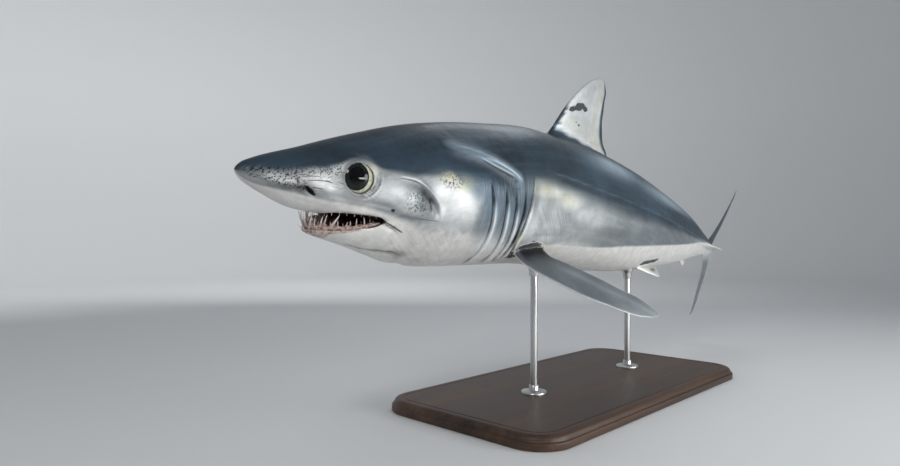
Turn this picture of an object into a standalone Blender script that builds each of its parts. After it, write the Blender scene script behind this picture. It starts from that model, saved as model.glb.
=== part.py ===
"""A young shortfin mako shark, life size, held still on a plain stand of two rods and a base.

The shark is first laid out straight: the snout tip at the origin, the tail towards +X, the back up
and its left side towards -Y. posed() then bends and banks it as it swims. Lengths are in metres, and
the names that end in _TL are shares of the total length.
"""

import math

import bmesh
import bpy
import numpy as np
from mathutils import Matrix, Vector

TOTAL_LENGTH = 1.60
GAP = 0.0003  # between pieces that touch

# ---------------------------------------------------------------- the body, straight

# Share of the length from the snout tip: back, belly, half width, height of the widest point, and how
# square the lower half of the section is (1 is an ellipse, less is squarer). Ahead of the mouth's corner
# the belly is the roof of the mouth, because the jaw is a piece of its own.
BODY_STATIONS = (
    (0.000, 0.0045, -0.0045, 0.0050, 0.0000, 1.00),
    (0.020, 0.0123, -0.0150, 0.0149, -0.0021, 1.00),
    (0.050, 0.0214, -0.0263, 0.0256, -0.0062, 0.90),
    (0.080, 0.0315, -0.0300, 0.0342, -0.0082, 0.70),
    (0.110, 0.0408, -0.0370, 0.0421, -0.0096, 0.70),
    (0.145, 0.0510, -0.0620, 0.0500, -0.0110, 0.90),
    (0.180, 0.0590, -0.0735, 0.0559, -0.0120, 1.00),
    (0.250, 0.0704, -0.0718, 0.0627, -0.0098, 1.00),
    (0.330, 0.0790, -0.0685, 0.0644, -0.0057, 1.00),
    (0.420, 0.0781, -0.0712, 0.0628, -0.0029, 1.00),
    (0.520, 0.0695, -0.0687, 0.0566, 0.0000, 1.00),
    (0.620, 0.0547, -0.0574, 0.0451, 0.0019, 1.00),
    (0.720, 0.0385, -0.0395, 0.0310, 0.0030, 1.00),
    (0.800, 0.0225, -0.0216, 0.0185, 0.0027, 1.00),
    (0.850, 0.0145, -0.0130, 0.0120, 0.0030, 1.00),
    (0.890, 0.0110, -0.0100, 0.0050, 0.0030, 1.00),
)
BODY_END_TL = 0.890
NOSE_ROUND_TL = 0.008  # the length over which the snout tip rounds off
# How far the keel on each side of the tail stands out beyond the body's half width.
KEEL_STATIONS = ((0.700, 0.0), (0.770, 0.0050), (0.820, 0.0150), (0.845, 0.0190), (0.870, 0.0170), (0.890, 0.0090))
KEEL_SPREAD = 0.16  # of a radian, round the section

# The lower jaw and throat: top, underside, half width.
JAW_STATIONS = (
    (0.0635, -0.0424, -0.0446, 0.0040),
    (0.0660, -0.0420, -0.0458, 0.0095),
    (0.0715, -0.0411, -0.0476, 0.0160),
    (0.0800, -0.0394, -0.0500, 0.0226),
    (0.0950, -0.0358, -0.0538, 0.0305),
    (0.1110, -0.0295, -0.0583, 0.0372),
    (0.1300, -0.0210, -0.0640, 0.0425),
    (0.1550, -0.0150, -0.0705, 0.0470),
    (0.2000, -0.0150, -0.0731, 0.0500),
)
MOUTH_FLOOR_TL = 0.0060  # how far the jaw's top is dished between the lips, where the jaw is wide enough
MOUTH_FLOOR_WIDTHS = (0.0040, 0.0340)  # the dish starts at the first half width and is full at the second

# Cuts across the body, each between two named lengths of it.
BODY_CUTS = (
    ("head", 0.0, 0.200),
    ("gill_region", 0.200, 0.290),
    ("trunk_front", 0.290, 0.400),
    ("trunk_middle", 0.400, 0.520),
    ("trunk_rear", 0.520, 0.660),
    ("tail", 0.660, 0.790),
    ("tail_stem", 0.790, BODY_END_TL),
)
RING_POINTS = 28
RINGS_PER_TL = 50

# ---------------------------------------------------------------- fins

# Distance out from the root, then the front and the rear edge along the chord.
FIRST_DORSAL = (
    (-0.0120, -0.0060, 0.1200),
    (0.0000, 0.0000, 0.1240),
    (0.0060, 0.0042, 0.1160),
    (0.0150, 0.0100, 0.1075),
    (0.0250, 0.0155, 0.1020),
    (0.0400, 0.0245, 0.0970),
    (0.0550, 0.0362, 0.0943),
    (0.0680, 0.0485, 0.0925),
    (0.0760, 0.0590, 0.0885),
    (0.0805, 0.0672, 0.0855),
    (0.0822, 0.0740, 0.0820),
)
FIRST_DORSAL_ROOT = (0.3600, 0.0, 0.0770)
SECOND_DORSAL = (
    (-0.0060, -0.0030, 0.0140),
    (0.0000, 0.0000, 0.0150),
    (0.0020, 0.0040, 0.0260),
    (0.0050, 0.0090, 0.0230),
    (0.0080, 0.0160, 0.0225),
    (0.0092, 0.0200, 0.0228),
)
SECOND_DORSAL_ROOT = (0.7420, 0.0, 0.0335)
ANAL_FIN_ROOT = (0.7560, 0.0, -0.0305)
LOBES_MEET_TL = 0.0020  # the height where the tail fin is parted
UPPER_LOBE = (
    (0.0000, -0.0220, 0.0310),
    (0.0080, -0.0120, 0.0310),
    (0.0200, 0.0040, 0.0360),
    (0.0450, 0.0320, 0.0570),
    (0.0750, 0.0630, 0.0810),
    (0.1000, 0.0890, 0.1020),
    (0.1090, 0.0990, 0.1130),
    (0.1200, 0.1110, 0.1180),
    (0.1250, 0.1160, 0.1195),
)
LOWER_LOBE = (
    (0.0000, -0.0200, 0.0310),
    (0.0080, -0.0100, 0.0310),
    (0.0200, 0.0030, 0.0335),
    (0.0450, 0.0200, 0.0430),
    (0.0750, 0.0330, 0.0500),
    (0.1000, 0.0430, 0.0560),
    (0.1150, 0.0490, 0.0560),
    (0.1215, 0.0520, 0.0545),
)
TAIL_FIN_ROOT = (0.8700, 0.0)
LOWER_LOBE_CHORD = (0.985, -0.120, 0.0)  # the stroke turns the lower lobe a little
LOWER_LOBE_SPAN = (0.0, 0.100, -1.0)
PECTORAL_FIN = (
    (-0.0120, -0.0020, 0.0400),
    (0.0000, -0.0010, 0.0420),
    (0.0120, -0.0010, 0.0440),
    (0.0250, 0.0040, 0.0585),
    (0.0400, 0.0150, 0.0745),
    (0.0550, 0.0280, 0.0900),
    (0.0700, 0.0425, 0.1035),
    (0.0860, 0.0635, 0.1200),
    (0.1000, 0.0830, 0.1275),
    (0.1070, 0.0965, 0.1295),
    (0.1110, 0.1120, 0.1260),
)
PECTORAL_ROOT = (0.2823, -0.0486, -0.0484)
PECTORAL_CHORD = (0.984, -0.079, 0.160)  # the root's direction, rising towards its rear
PECTORAL_SPAN = (0.011, -0.869, -0.495)  # out and down
PELVIC_FIN = (
    (-0.0080, -0.0020, 0.0260),
    (0.0000, 0.0000, 0.0290),
    (0.0040, 0.0060, 0.0425),
    (0.0100, 0.0160, 0.0400),
    (0.0160, 0.0265, 0.0375),
    (0.0195, 0.0325, 0.0355),
)
PELVIC_ROOT = (0.5740, -0.0290, -0.0550)
PELVIC_CHORD = (0.978, 0.000, 0.208)
PELVIC_SPAN = (0.0, -0.780, -0.626)
FIN_THICKNESS = 0.095  # share of the chord at the root
FIN_THINNING = 0.35  # share of that lost by the tip
FIN_EDGE = 0.0005  # half the thickness of a rear edge
FIN_RINGS = 11
FOIL_POINTS = 7  # on each face

# ---------------------------------------------------------------- head pieces

EYE_CENTRE = (0.0863, -0.0282, 0.0044)
EYE_FACES = (-0.300, -0.930, 0.180)  # forwards, outwards and up
EYE_RADII_TL = (0.0092, 0.0150)  # along the way it faces, and across
TEETH_PER_SIDE = 10
TOOTH_ROW_TL = (0.0665, 0.1060)  # from the front of the jaw towards its corner
LOWER_TEETH = (0.0150, 0.0040, 0.86)  # longest, shortest and the row's share of the jaw's half width
UPPER_TEETH = (0.0060, 0.0030, 0.80)
TOOTH_SIDES = 4
TOOTH_LEAN = 0.35  # outwards, as a share of its length
TOOTH_PROFILE = ((-0.15, 1.0), (0.15, 0.95), (0.60, 0.55), (1.0, 0.08))
TOOTH_SLIMNESS = 0.15  # the radius at the root, as a share of the length

# ---------------------------------------------------------------- pose and stand

BEND_FROM_TL = 0.35
SWAY_FRONT = math.radians(-24.7)  # sideways turn for each total length from there
SWAY_TAIL = math.radians(77.6)  # and for its square, so the tail swings to the shark's right
ARCH = math.radians(-10.7)  # the tail's droop for each total length
TWIST = math.radians(3.2)
TAIL_DOWN = math.radians(4.0)
BANK = math.radians(12.0)  # the back leans to the shark's left
POSE_STEPS = 401

TAIL_CLEARANCE = 0.075  # of the tail's lowest point above the floor
BASE_SIZE = (0.72, 0.36, 0.022)
BASE_CORNER = 0.060
BASE_EDGE = 0.003
BASE_AT_TL = 0.455
ROD_RADIUS = 0.0065
ROD_FEET_TL = (0.365, 0.570)
ROD_SIDES = 24


def smooth(at, table, column):
    """A column of a table of stations, read at any length by a cubic that doesn't overshoot."""
    table = np.asarray(table, float)
    x, y = table[:, 0], table[:, column]
    step = np.diff(x)
    slope = np.diff(y) / step
    inner = np.zeros(len(x))
    same = slope[1:] * slope[:-1] > 0
    before, after = 2 * step[1:] + step[:-1], step[1:] + 2 * step[:-1]
    with np.errstate(divide="ignore", invalid="ignore"):
        mean = (before + after) / (before / slope[:-1] + after / slope[1:])
    inner[1:-1] = np.where(same, mean, 0.0)
    inner[0], inner[-1] = slope[0], slope[-1]
    at = np.clip(np.asarray(at, float), x[0], x[-1])
    i = np.clip(np.searchsorted(x, at, side="right") - 1, 0, len(x) - 2)
    t = (at - x[i]) / step[i]
    return (
        y[i] * (1 + 2 * t) * (1 - t) ** 2
        + y[i + 1] * t**2 * (3 - 2 * t)
        + step[i] * t * (1 - t) * (inner[i] * (1 - t) - inner[i + 1] * t)
    )


def body_ring(at, grow=0.0):
    """The body's section at a share of the length, as points from the back round by the left side."""
    turn = np.linspace(0, 2 * math.pi, RING_POINTS, endpoint=False)
    top, bottom, half, widest, square = (float(smooth(at, BODY_STATIONS, i)) for i in range(1, 6))
    nose = math.sqrt(max(1 - (1 - min(at / NOSE_ROUND_TL, 1.0)) ** 2, 0.0))
    side = np.abs(np.abs(turn - math.pi) - math.pi / 2)
    keel = float(smooth(at, KEEL_STATIONS, 1)) * np.exp(-((side / KEEL_SPREAD) ** 2))
    grown = grow / TOTAL_LENGTH
    across = -np.sin(turn) * (half * nose + keel + grown)
    up = np.cos(turn)
    height = np.where(up > 0, top - widest, widest - bottom) * nose + grown
    rise = np.sign(up) * np.abs(up) ** np.where(up > 0, 1.0, square)
    return np.stack([np.full(RING_POINTS, at), across, widest * nose + height * rise], 1) * TOTAL_LENGTH


def mouth_floor(at, out):
    """The height of the lower jaw's top, out from its middle."""
    top, half = float(smooth(at, JAW_STATIONS, 1)), float(smooth(at, JAW_STATIONS, 3))
    dish = MOUTH_FLOOR_TL * np.interp(half, MOUTH_FLOOR_WIDTHS, (0, 1))
    return top - dish * np.clip(1 - (out / half) ** 2, 0, 1) ** 0.75


def mouth_roof(at, out):
    """The height of the head's underside, out from its middle."""
    bottom, half, widest, square = (float(smooth(at, BODY_STATIONS, i)) for i in (2, 3, 4, 5))
    return widest - (widest - bottom) * np.clip(1 - (out / half) ** 2, 0, 1) ** (square / 2)


def jaw_ring(at, grow=0.0):
    """The lower jaw's section: a dished top between two lips, and a round underside."""
    turn = np.linspace(0, 2 * math.pi, RING_POINTS, endpoint=False)
    top, bottom, half = (float(smooth(at, JAW_STATIONS, i)) for i in (1, 2, 3))
    grown = grow / TOTAL_LENGTH
    across, up = -np.sin(turn), np.cos(turn)
    above = mouth_floor(at, across * half) + grown
    below = top + (top - bottom + grown) * up
    z = np.where(up > -1e-9, above, below)
    return np.stack([np.full(RING_POINTS, at), across * (half + grown), z], 1) * TOTAL_LENGTH


def posed(points):
    """Points of the straight shark, bent, twisted and banked as it swims, still with the snout at the origin."""
    points = np.asarray(points, float) / TOTAL_LENGTH
    at = np.linspace(0, 1, POSE_STEPS)
    past = at - BEND_FROM_TL
    yaw, pitch = SWAY_FRONT * past + SWAY_TAIL * past * np.abs(past), ARCH * past
    heading = np.stack([np.cos(yaw) * np.cos(pitch), np.sin(yaw) * np.cos(pitch), np.sin(pitch)], 1)
    steps = (heading[1:] + heading[:-1]) / 2 / (POSE_STEPS - 1)
    line = np.concatenate([np.zeros((1, 3)), np.cumsum(steps, 0)])
    x = np.clip(points[:, 0], 0, 1)
    beyond = points[:, 0] - x
    yaw, pitch = np.interp(x, at, yaw), np.interp(x, at, pitch)
    twist = TWIST * (x - BEND_FROM_TL)
    y = points[:, 1] * np.cos(twist) - points[:, 2] * np.sin(twist)
    z = points[:, 1] * np.sin(twist) + points[:, 2] * np.cos(twist)
    ahead = np.stack([np.cos(yaw) * np.cos(pitch), np.sin(yaw) * np.cos(pitch), np.sin(pitch)], 1)
    across = np.stack([-np.sin(yaw), np.cos(yaw), 0 * yaw], 1)
    above = np.stack([-np.cos(yaw) * np.sin(pitch), -np.sin(yaw) * np.sin(pitch), np.cos(pitch)], 1)
    centre = np.stack([np.interp(x, at, line[:, i]) for i in range(3)], 1)
    bent = centre + ahead * beyond[:, None] + across * y[:, None] + above * z[:, None]
    turned = Matrix.Rotation(TAIL_DOWN, 3, "Y") @ Matrix.Rotation(BANK, 3, "X")
    return bent @ np.array(turned).T * TOTAL_LENGTH


def material(name, colour, roughness, metallic=0.0):
    made = bpy.data.materials.new(name)
    made.use_nodes = True
    shader = made.node_tree.nodes["Principled BSDF"]
    shader.inputs["Base Color"].default_value = (*colour, 1.0)
    shader.inputs["Roughness"].default_value = roughness
    shader.inputs["Metallic"].default_value = metallic
    made.diffuse_color = (*colour, 1.0)
    return made


def node(name, points, faces, finish, cutter=False):
    """An object of these points, with its faces turned outwards. A cutter isn't part of the model."""
    mesh = bpy.data.meshes.new(name)
    mesh.from_pydata([tuple(p) for p in points], [], faces)
    shell = bmesh.new()
    shell.from_mesh(mesh)
    bmesh.ops.remove_doubles(shell, verts=shell.verts, dist=1e-6)
    bmesh.ops.recalc_face_normals(shell, faces=shell.faces)
    if shell.calc_volume(signed=True) < 0:
        bmesh.ops.reverse_faces(shell, faces=shell.faces)
    shell.to_mesh(mesh)
    shell.free()
    mesh.shade_smooth()
    mesh.set_sharp_from_angle(angle=math.radians(40))
    made = bpy.data.objects.new(name, mesh)
    bpy.context.scene.collection.objects.link(made)
    if cutter:
        made.hide_render = True
        made.display_type = "WIRE"
    else:
        mesh.materials.append(finish)
    return made


def combine(target, tool, operation="DIFFERENCE"):
    step = target.modifiers.new(f"{operation.lower()}_{tool.name}", "BOOLEAN")
    step.operation = operation
    step.object = tool
    step.solver = "EXACT"


def skin_over(rings):
    """Points and faces of the closed shape through these rings, with a fan at each end."""
    count = len(rings[0])
    hubs = [(ring[0] + ring[count // 2])[None] / 2 for ring in (rings[0], rings[-1])]
    points = np.concatenate([*rings, *hubs])
    first_hub, last_hub = len(points) - 2, len(points) - 1
    faces = []
    for j in range(count):
        after = (j + 1) % count
        for i in range(len(rings) - 1):
            low, high = i * count, (i + 1) * count
            faces.append((low + j, high + j, high + after, low + after))
        faces.append((first_hub, j, after))
        faces.append((last_hub, (len(rings) - 1) * count + after, (len(rings) - 1) * count + j))
    return points, faces


def body_lengths(start, end):
    """Shares of the length to put rings at, closer together where the snout rounds off."""
    count = max(4, round((end - start) * RINGS_PER_TL))
    even = np.linspace(start, end, count + 1)
    if start > 0:
        return even
    rounding = NOSE_ROUND_TL * (1 - np.cos(np.linspace(0.12, 1, 5) * math.pi / 2))
    return np.concatenate([rounding, even[even > NOSE_ROUND_TL * 1.2]])


def jaw_lengths():
    first, last = JAW_STATIONS[0][0], JAW_STATIONS[-1][0]
    return first + (last - first) * np.linspace(0, 1, 14) ** 1.4


def foil(chord, thickness, edge):
    """A streamlined section: shares of the chord with the half thickness there, out along one face."""
    x = (1 - np.cos(np.linspace(0, math.pi, FOIL_POINTS))) / 2
    shape = 0.2969 * np.sqrt(x) - 0.1260 * x - 0.3516 * x**2 + 0.2843 * x**3 - 0.1036 * x**4
    return x, 5 * thickness * chord * shape + edge * np.sqrt(x)


def fin_rings(table, root, chord_way, span_way, grow=0.0):
    """Sections of a fin from inside the body to the tip, in the straight shark's frame."""
    chord_way = Vector(chord_way).normalized()
    normal = chord_way.cross(Vector(span_way)).normalized()
    span_way = normal.cross(chord_way)
    first, last = table[0][0], table[-1][0]
    reach = first + (last - first) * np.sin(np.linspace(0, 1, FIN_RINGS) * math.pi / 2)
    rings = []
    for out in reach:
        front, rear = float(smooth(out, table, 1)), float(smooth(out, table, 2))
        share = max(out, 0.0) / last
        thickness = FIN_THICKNESS * (1 - FIN_THINNING * share)
        chord = (rear - front) * TOTAL_LENGTH
        x, half = foil(chord, thickness, FIN_EDGE)
        half = half + grow
        along = np.concatenate([x, x[-2:0:-1]])
        face = np.concatenate([half, -half[-2:0:-1]])
        start = Vector(root) + chord_way * front + span_way * out
        ring = [start * TOTAL_LENGTH + chord_way * (c * chord) + normal * h for c, h in zip(along, face)]
        rings.append(np.array(ring))
    return rings


def mirrored(rings):
    return [ring * (1, -1, 1) for ring in rings]


def tooth_roots(share):
    """Where a jaw's teeth stand, evenly along its edge from the front to the corner, as x and -y."""
    at = np.linspace(*TOOTH_ROW_TL, 60)
    out = smooth(at, JAW_STATIONS, 3) * share
    along = np.concatenate([[0], np.cumsum(np.hypot(np.diff(at), np.diff(out)))]) + out[0]
    spots = along[-1] * (np.arange(TEETH_PER_SIDE) + 0.5) / TEETH_PER_SIDE
    return [(float(np.interp(s, along, at)), float(np.interp(s, along, out, left=s))) for s in spots]


def tooth(root, out, up, length):
    """A slender awl-like tooth, which leans out and curls back to its tip."""
    side = out.cross(up).normalized()
    turn = np.linspace(0, 2 * math.pi, TOOTH_SIDES, endpoint=False)
    rings = []
    for share, width in TOOTH_PROFILE:
        centre = root + up * (length * share) + out * (length * TOOTH_LEAN * share * (1.2 - share))
        radius = TOOTH_SLIMNESS * length * width + 0.0004
        ring = [centre + side * (radius * math.cos(a)) + out * (radius * math.sin(a)) for a in turn]
        rings.append(np.array(ring))
    return rings


def tooth_row(name, sizes, up):
    """All the teeth of a jaw in one mesh, ready to be joined to it."""
    longest, shortest, share = sizes
    points, faces = [], []
    for k, (at, out) in enumerate(tooth_roots(share)):
        length = longest + (shortest - longest) * (k / (TEETH_PER_SIDE - 1)) ** 0.8
        height = float(mouth_floor(at, out) if up > 0 else mouth_roof(at, out))
        for side in (-1, 1):
            root = Vector((at, side * out, height)) * TOTAL_LENGTH
            away = Vector((at - TOOTH_ROW_TL[1], side * out, 0)).normalized()
            some_points, some_faces = skin_over(tooth(root, away, Vector((0, 0, up)), length))
            faces += [tuple(i + sum(map(len, points)) for i in face) for face in some_faces]
            points.append(some_points)
    return node(name, posed(np.concatenate(points)), faces, None, cutter=True)


def eyeball(name, side, grow, finish, cutter=False):
    """A flattened ball, in the straight shark's frame, on the left side (1) or the right (-1)."""
    deep, wide = (radius * TOTAL_LENGTH + grow for radius in EYE_RADII_TL)
    facing = Vector(EYE_FACES).normalized().to_track_quat("Z", "Y").to_matrix()
    shell = bmesh.new()
    bmesh.ops.create_uvsphere(shell, u_segments=14, v_segments=9, radius=1)
    points = [facing @ Vector((v.co.x * wide, v.co.y * wide, v.co.z * deep)) for v in shell.verts]
    faces = [[v.index for v in f.verts] for f in shell.faces]
    shell.free()
    placed = (np.array(points) + np.array(EYE_CENTRE) * TOTAL_LENGTH) * (1, side, 1)
    return node(name, posed(placed), faces, finish, cutter)


def rod(name, foot, top, finish):
    """An upright round bar from a foot's height to a top's."""
    shell = bmesh.new()
    bmesh.ops.create_cone(
        shell, cap_ends=True, segments=ROD_SIDES, radius1=ROD_RADIUS, radius2=ROD_RADIUS, depth=top - foot[2]
    )
    points = np.array([v.co for v in shell.verts]) + (foot[0], foot[1], (top + foot[2]) / 2)
    faces = [[v.index for v in f.verts] for f in shell.faces]
    shell.free()
    return node(name, points, faces, finish)


def base(centre, bottom, finish):
    """A flat plate with round corners and softened edges."""
    length, width, depth = BASE_SIZE
    outline = []
    for corner, (sx, sy) in enumerate(((1, 1), (-1, 1), (-1, -1), (1, -1))):
        for step in range(9):
            angle = (corner + step / 8) * math.pi / 2
            x = sx * (length / 2 - BASE_CORNER) + BASE_CORNER * math.cos(angle)
            y = sy * (width / 2 - BASE_CORNER) + BASE_CORNER * math.sin(angle)
            outline.append((centre[0] + x, centre[1] + y))
    count = len(outline)
    points = [(x, y, z) for z in (bottom, bottom + depth) for x, y in outline]
    faces = [tuple(range(count))[::-1], tuple(range(count, 2 * count))]
    faces += [(i, (i + 1) % count, (i + 1) % count + count, i + count) for i in range(count)]
    made = node("stand_base", points, faces, finish)
    edge = made.modifiers.new("edge", "BEVEL")
    edge.width = BASE_EDGE
    edge.segments = 2
    edge.limit_method = "ANGLE"
    edge.angle_limit = math.radians(60)
    return made


def build_shark():
    back = material("dark_back", (0.10, 0.13, 0.17), 0.4)
    silver = material("silver_flank", (0.55, 0.58, 0.60), 0.35)
    eye_black = material("eye_black", (0.01, 0.01, 0.012), 0.05)

    whole = np.linspace(0.02, BODY_END_TL, 56)
    points, faces = skin_over([body_ring(at, GAP) for at in np.concatenate([body_lengths(0, 0.02)[:5], whole])])
    body_tool = node("cut_body", posed(points), faces, None, cutter=True)
    around_jaw = jaw_lengths() + np.r_[-GAP / TOTAL_LENGTH, np.zeros(12), GAP]
    points, faces = skin_over([jaw_ring(at, GAP) for at in around_jaw])
    jaw_tool = node("cut_jaw", posed(points), faces, None, cutter=True)

    nodes = {}
    half_gap = GAP / 2 / TOTAL_LENGTH
    for name, start, end in BODY_CUTS:
        lengths = body_lengths(start + (half_gap if start else 0), end - half_gap)
        points, faces = skin_over([body_ring(at) for at in lengths])
        nodes[name] = node(name, posed(points), faces, silver)
    jaw = jaw_lengths()
    jaw[-1] -= half_gap
    points, faces = skin_over([jaw_ring(at) for at in jaw])
    nodes["lower_jaw"] = node("lower_jaw", posed(points), faces, silver)
    combine(nodes["head"], jaw_tool)

    for side, name in ((1, "left"), (-1, "right")):
        nodes[f"eye_{name}"] = eyeball(f"eye_{name}", side, 0, eye_black)
        combine(nodes["head"], eyeball(f"cut_eye_{name}", side, GAP, None, cutter=True))

    combine(nodes["head"], tooth_row("upper_teeth", UPPER_TEETH, -1), "UNION")
    combine(nodes["lower_jaw"], tooth_row("lower_teeth", LOWER_TEETH, 1), "UNION")

    upright = ((1, 0, 0), (0, 0, 1))
    hanging = ((1, 0, 0), (0, 0, -1))
    turned = (LOWER_LOBE_CHORD, LOWER_LOBE_SPAN)
    fins = {
        "first_dorsal_fin": fin_rings(FIRST_DORSAL, FIRST_DORSAL_ROOT, *upright),
        "second_dorsal_fin": fin_rings(SECOND_DORSAL, SECOND_DORSAL_ROOT, *upright),
        "anal_fin": fin_rings(SECOND_DORSAL, ANAL_FIN_ROOT, *hanging),
        "upper_tail_lobe": fin_rings(UPPER_LOBE, (*TAIL_FIN_ROOT, LOBES_MEET_TL + half_gap), *upright),
        "lower_tail_lobe": fin_rings(LOWER_LOBE, (*TAIL_FIN_ROOT, LOBES_MEET_TL - half_gap), *turned),
        "pectoral_fin_left": fin_rings(PECTORAL_FIN, PECTORAL_ROOT, PECTORAL_CHORD, PECTORAL_SPAN),
        "pelvic_fin_left": fin_rings(PELVIC_FIN, PELVIC_ROOT, PELVIC_CHORD, PELVIC_SPAN),
    }
    for kind in ("pectoral", "pelvic"):
        fins[f"{kind}_fin_right"] = mirrored(fins[f"{kind}_fin_left"])
    for name, rings in fins.items():
        points, faces = skin_over(rings)
        nodes[name] = node(name, posed(points), faces, back)
        combine(nodes[name], body_tool)
    return nodes, body_tool


def build_stand(nodes, body_tool):
    painted = material("stand_paint", (0.03, 0.03, 0.035), 0.45)
    steel = material("stand_steel", (0.60, 0.61, 0.62), 0.25, metallic=1.0)
    lowest = min(v.co.z for piece in nodes.values() for v in piece.data.vertices)
    floor = lowest - TAIL_CLEARANCE
    places = posed([(at * TOTAL_LENGTH, 0, 0) for at in (BASE_AT_TL, *ROD_FEET_TL)])
    nodes["stand_base"] = base(places[0], floor, painted)
    for name, place in zip(("front", "rear"), places[1:]):
        foot = (place[0], place[1], floor + BASE_SIZE[2] + GAP)
        nodes[f"stand_rod_{name}"] = rod(f"stand_rod_{name}", foot, place[2], steel)
        combine(nodes[f"stand_rod_{name}"], body_tool)
    return floor


def centre_on_origin(nodes, floor):
    """Moves everything so that the object's box is centred over the origin and stands at height 0."""
    points = np.array([v.co for piece in nodes.values() for v in piece.data.vertices])
    middle = (points.min(0) + points.max(0)) / 2
    for piece in bpy.context.scene.objects:
        piece.location = (-middle[0], -middle[1], -floor)


for old in list(bpy.data.objects):
    bpy.data.objects.remove(old)
shark, body_cutter = build_shark()
centre_on_origin(shark, build_stand(shark, body_cutter))
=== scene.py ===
"""The finished look of a life-size shortfin mako shark on a plain display stand.

The shark is built straight, as its solids are: snout tip at the origin, tail towards +X, back up, left
side towards -Y, in shares of its total length. One skin is joined from the body, the jaw and the fins,
gets its folds, slits and sockets, and is then bent and banked into the pose of the frame.
"""

import math

import bpy
import numpy as np
from mathutils import Matrix, Vector
from mathutils.kdtree import KDTree


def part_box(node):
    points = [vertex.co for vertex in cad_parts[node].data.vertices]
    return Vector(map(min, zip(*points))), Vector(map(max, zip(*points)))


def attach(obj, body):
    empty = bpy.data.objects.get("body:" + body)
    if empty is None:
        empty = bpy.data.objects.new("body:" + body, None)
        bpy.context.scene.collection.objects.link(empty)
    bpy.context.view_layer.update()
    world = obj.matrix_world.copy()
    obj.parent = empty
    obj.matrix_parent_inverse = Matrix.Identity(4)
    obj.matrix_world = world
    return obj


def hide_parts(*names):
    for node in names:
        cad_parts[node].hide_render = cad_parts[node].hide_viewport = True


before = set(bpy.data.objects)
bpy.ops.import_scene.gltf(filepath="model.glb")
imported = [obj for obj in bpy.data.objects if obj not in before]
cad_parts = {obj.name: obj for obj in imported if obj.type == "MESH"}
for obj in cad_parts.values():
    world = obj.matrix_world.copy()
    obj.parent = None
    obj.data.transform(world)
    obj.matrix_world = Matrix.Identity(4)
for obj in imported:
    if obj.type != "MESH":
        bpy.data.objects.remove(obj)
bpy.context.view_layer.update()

# ---------------------------------------------------------------- the shark's sizes, as its solids have them

# Here sizes are shares of the length, apart from those marked as metres.
TOTAL_LENGTH = 1.6  # metres
# Rows of the body's tables start with how far along they are. These go on with its top, bottom, half width,
# the height where it is widest, and how square it is below that.
BODY_STATIONS = (
    (0.0, 0.0045, -0.0045, 0.005, 0.0, 1.0), (0.02, 0.0123, -0.015, 0.0149, -0.0021, 1.0),
    (0.05, 0.0214, -0.0263, 0.0256, -0.0062, 0.9), (0.08, 0.0315, -0.03, 0.0342, -0.0082, 0.7),
    (0.11, 0.0408, -0.037, 0.0421, -0.0096, 0.7), (0.145, 0.051, -0.062, 0.05, -0.011, 0.9),
    (0.18, 0.059, -0.0735, 0.0559, -0.012, 1.0), (0.25, 0.0704, -0.0718, 0.0627, -0.0098, 1.0),
    (0.33, 0.079, -0.0685, 0.0644, -0.0057, 1.0), (0.42, 0.0781, -0.0712, 0.0628, -0.0029, 1.0),
    (0.52, 0.0695, -0.0687, 0.0566, 0.0, 1.0), (0.62, 0.0547, -0.0574, 0.0451, 0.0019, 1.0),
    (0.72, 0.0385, -0.0395, 0.031, 0.003, 1.0), (0.8, 0.0225, -0.0216, 0.0185, 0.0027, 1.0),
    (0.85, 0.0145, -0.013, 0.012, 0.003, 1.0), (0.89, 0.011, -0.01, 0.005, 0.003, 1.0),
)
BODY_END_TL = 0.89
NOSE_ROUND_TL = 0.008
KEEL_STATIONS = ((0.7, 0.0), (0.77, 0.005), (0.82, 0.015), (0.845, 0.019), (0.87, 0.017), (0.89, 0.009))
KEEL_SPREAD = 0.16
# The lower jaw's top, bottom and half width.
JAW_STATIONS = (
    (0.0635, -0.0424, -0.0446, 0.004), (0.066, -0.042, -0.0458, 0.0095), (0.0715, -0.0411, -0.0476, 0.016),
    (0.08, -0.0394, -0.05, 0.0226), (0.095, -0.0358, -0.0538, 0.0305), (0.111, -0.0295, -0.0583, 0.0372),
    (0.13, -0.021, -0.064, 0.0425), (0.155, -0.015, -0.0705, 0.047), (0.2, -0.015, -0.0731, 0.05),
)
MOUTH_FLOOR_TL = 0.006
MOUTH_FLOOR_WIDTHS = (0.004, 0.034)
# Rows of a fin's table: how far out it is from the root, and its front and rear edge along the chord.
FIRST_DORSAL = (
    (-0.012, -0.006, 0.12), (0.0, 0.0, 0.124), (0.006, 0.0042, 0.116), (0.015, 0.01, 0.1075),
    (0.025, 0.0155, 0.102), (0.04, 0.0245, 0.097), (0.055, 0.0362, 0.0943), (0.068, 0.0485, 0.0925),
    (0.076, 0.059, 0.0885), (0.0805, 0.0672, 0.0855), (0.0822, 0.074, 0.082),
)
FIRST_DORSAL_ROOT = (0.36, 0.0, 0.077)
SECOND_DORSAL = (
    (-0.006, -0.003, 0.014), (0.0, 0.0, 0.015), (0.002, 0.004, 0.026), (0.005, 0.009, 0.023),
    (0.008, 0.016, 0.0225), (0.0092, 0.02, 0.0228),
)
SECOND_DORSAL_ROOT = (0.742, 0.0, 0.0335)
ANAL_FIN_ROOT = (0.756, 0.0, -0.0305)
UPPER_LOBE = (
    (0.0, -0.022, 0.031), (0.008, -0.012, 0.031), (0.02, 0.004, 0.036), (0.045, 0.032, 0.057),
    (0.075, 0.063, 0.081), (0.1, 0.089, 0.102), (0.109, 0.099, 0.113), (0.12, 0.111, 0.118),
    (0.125, 0.116, 0.1195),
)
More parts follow.
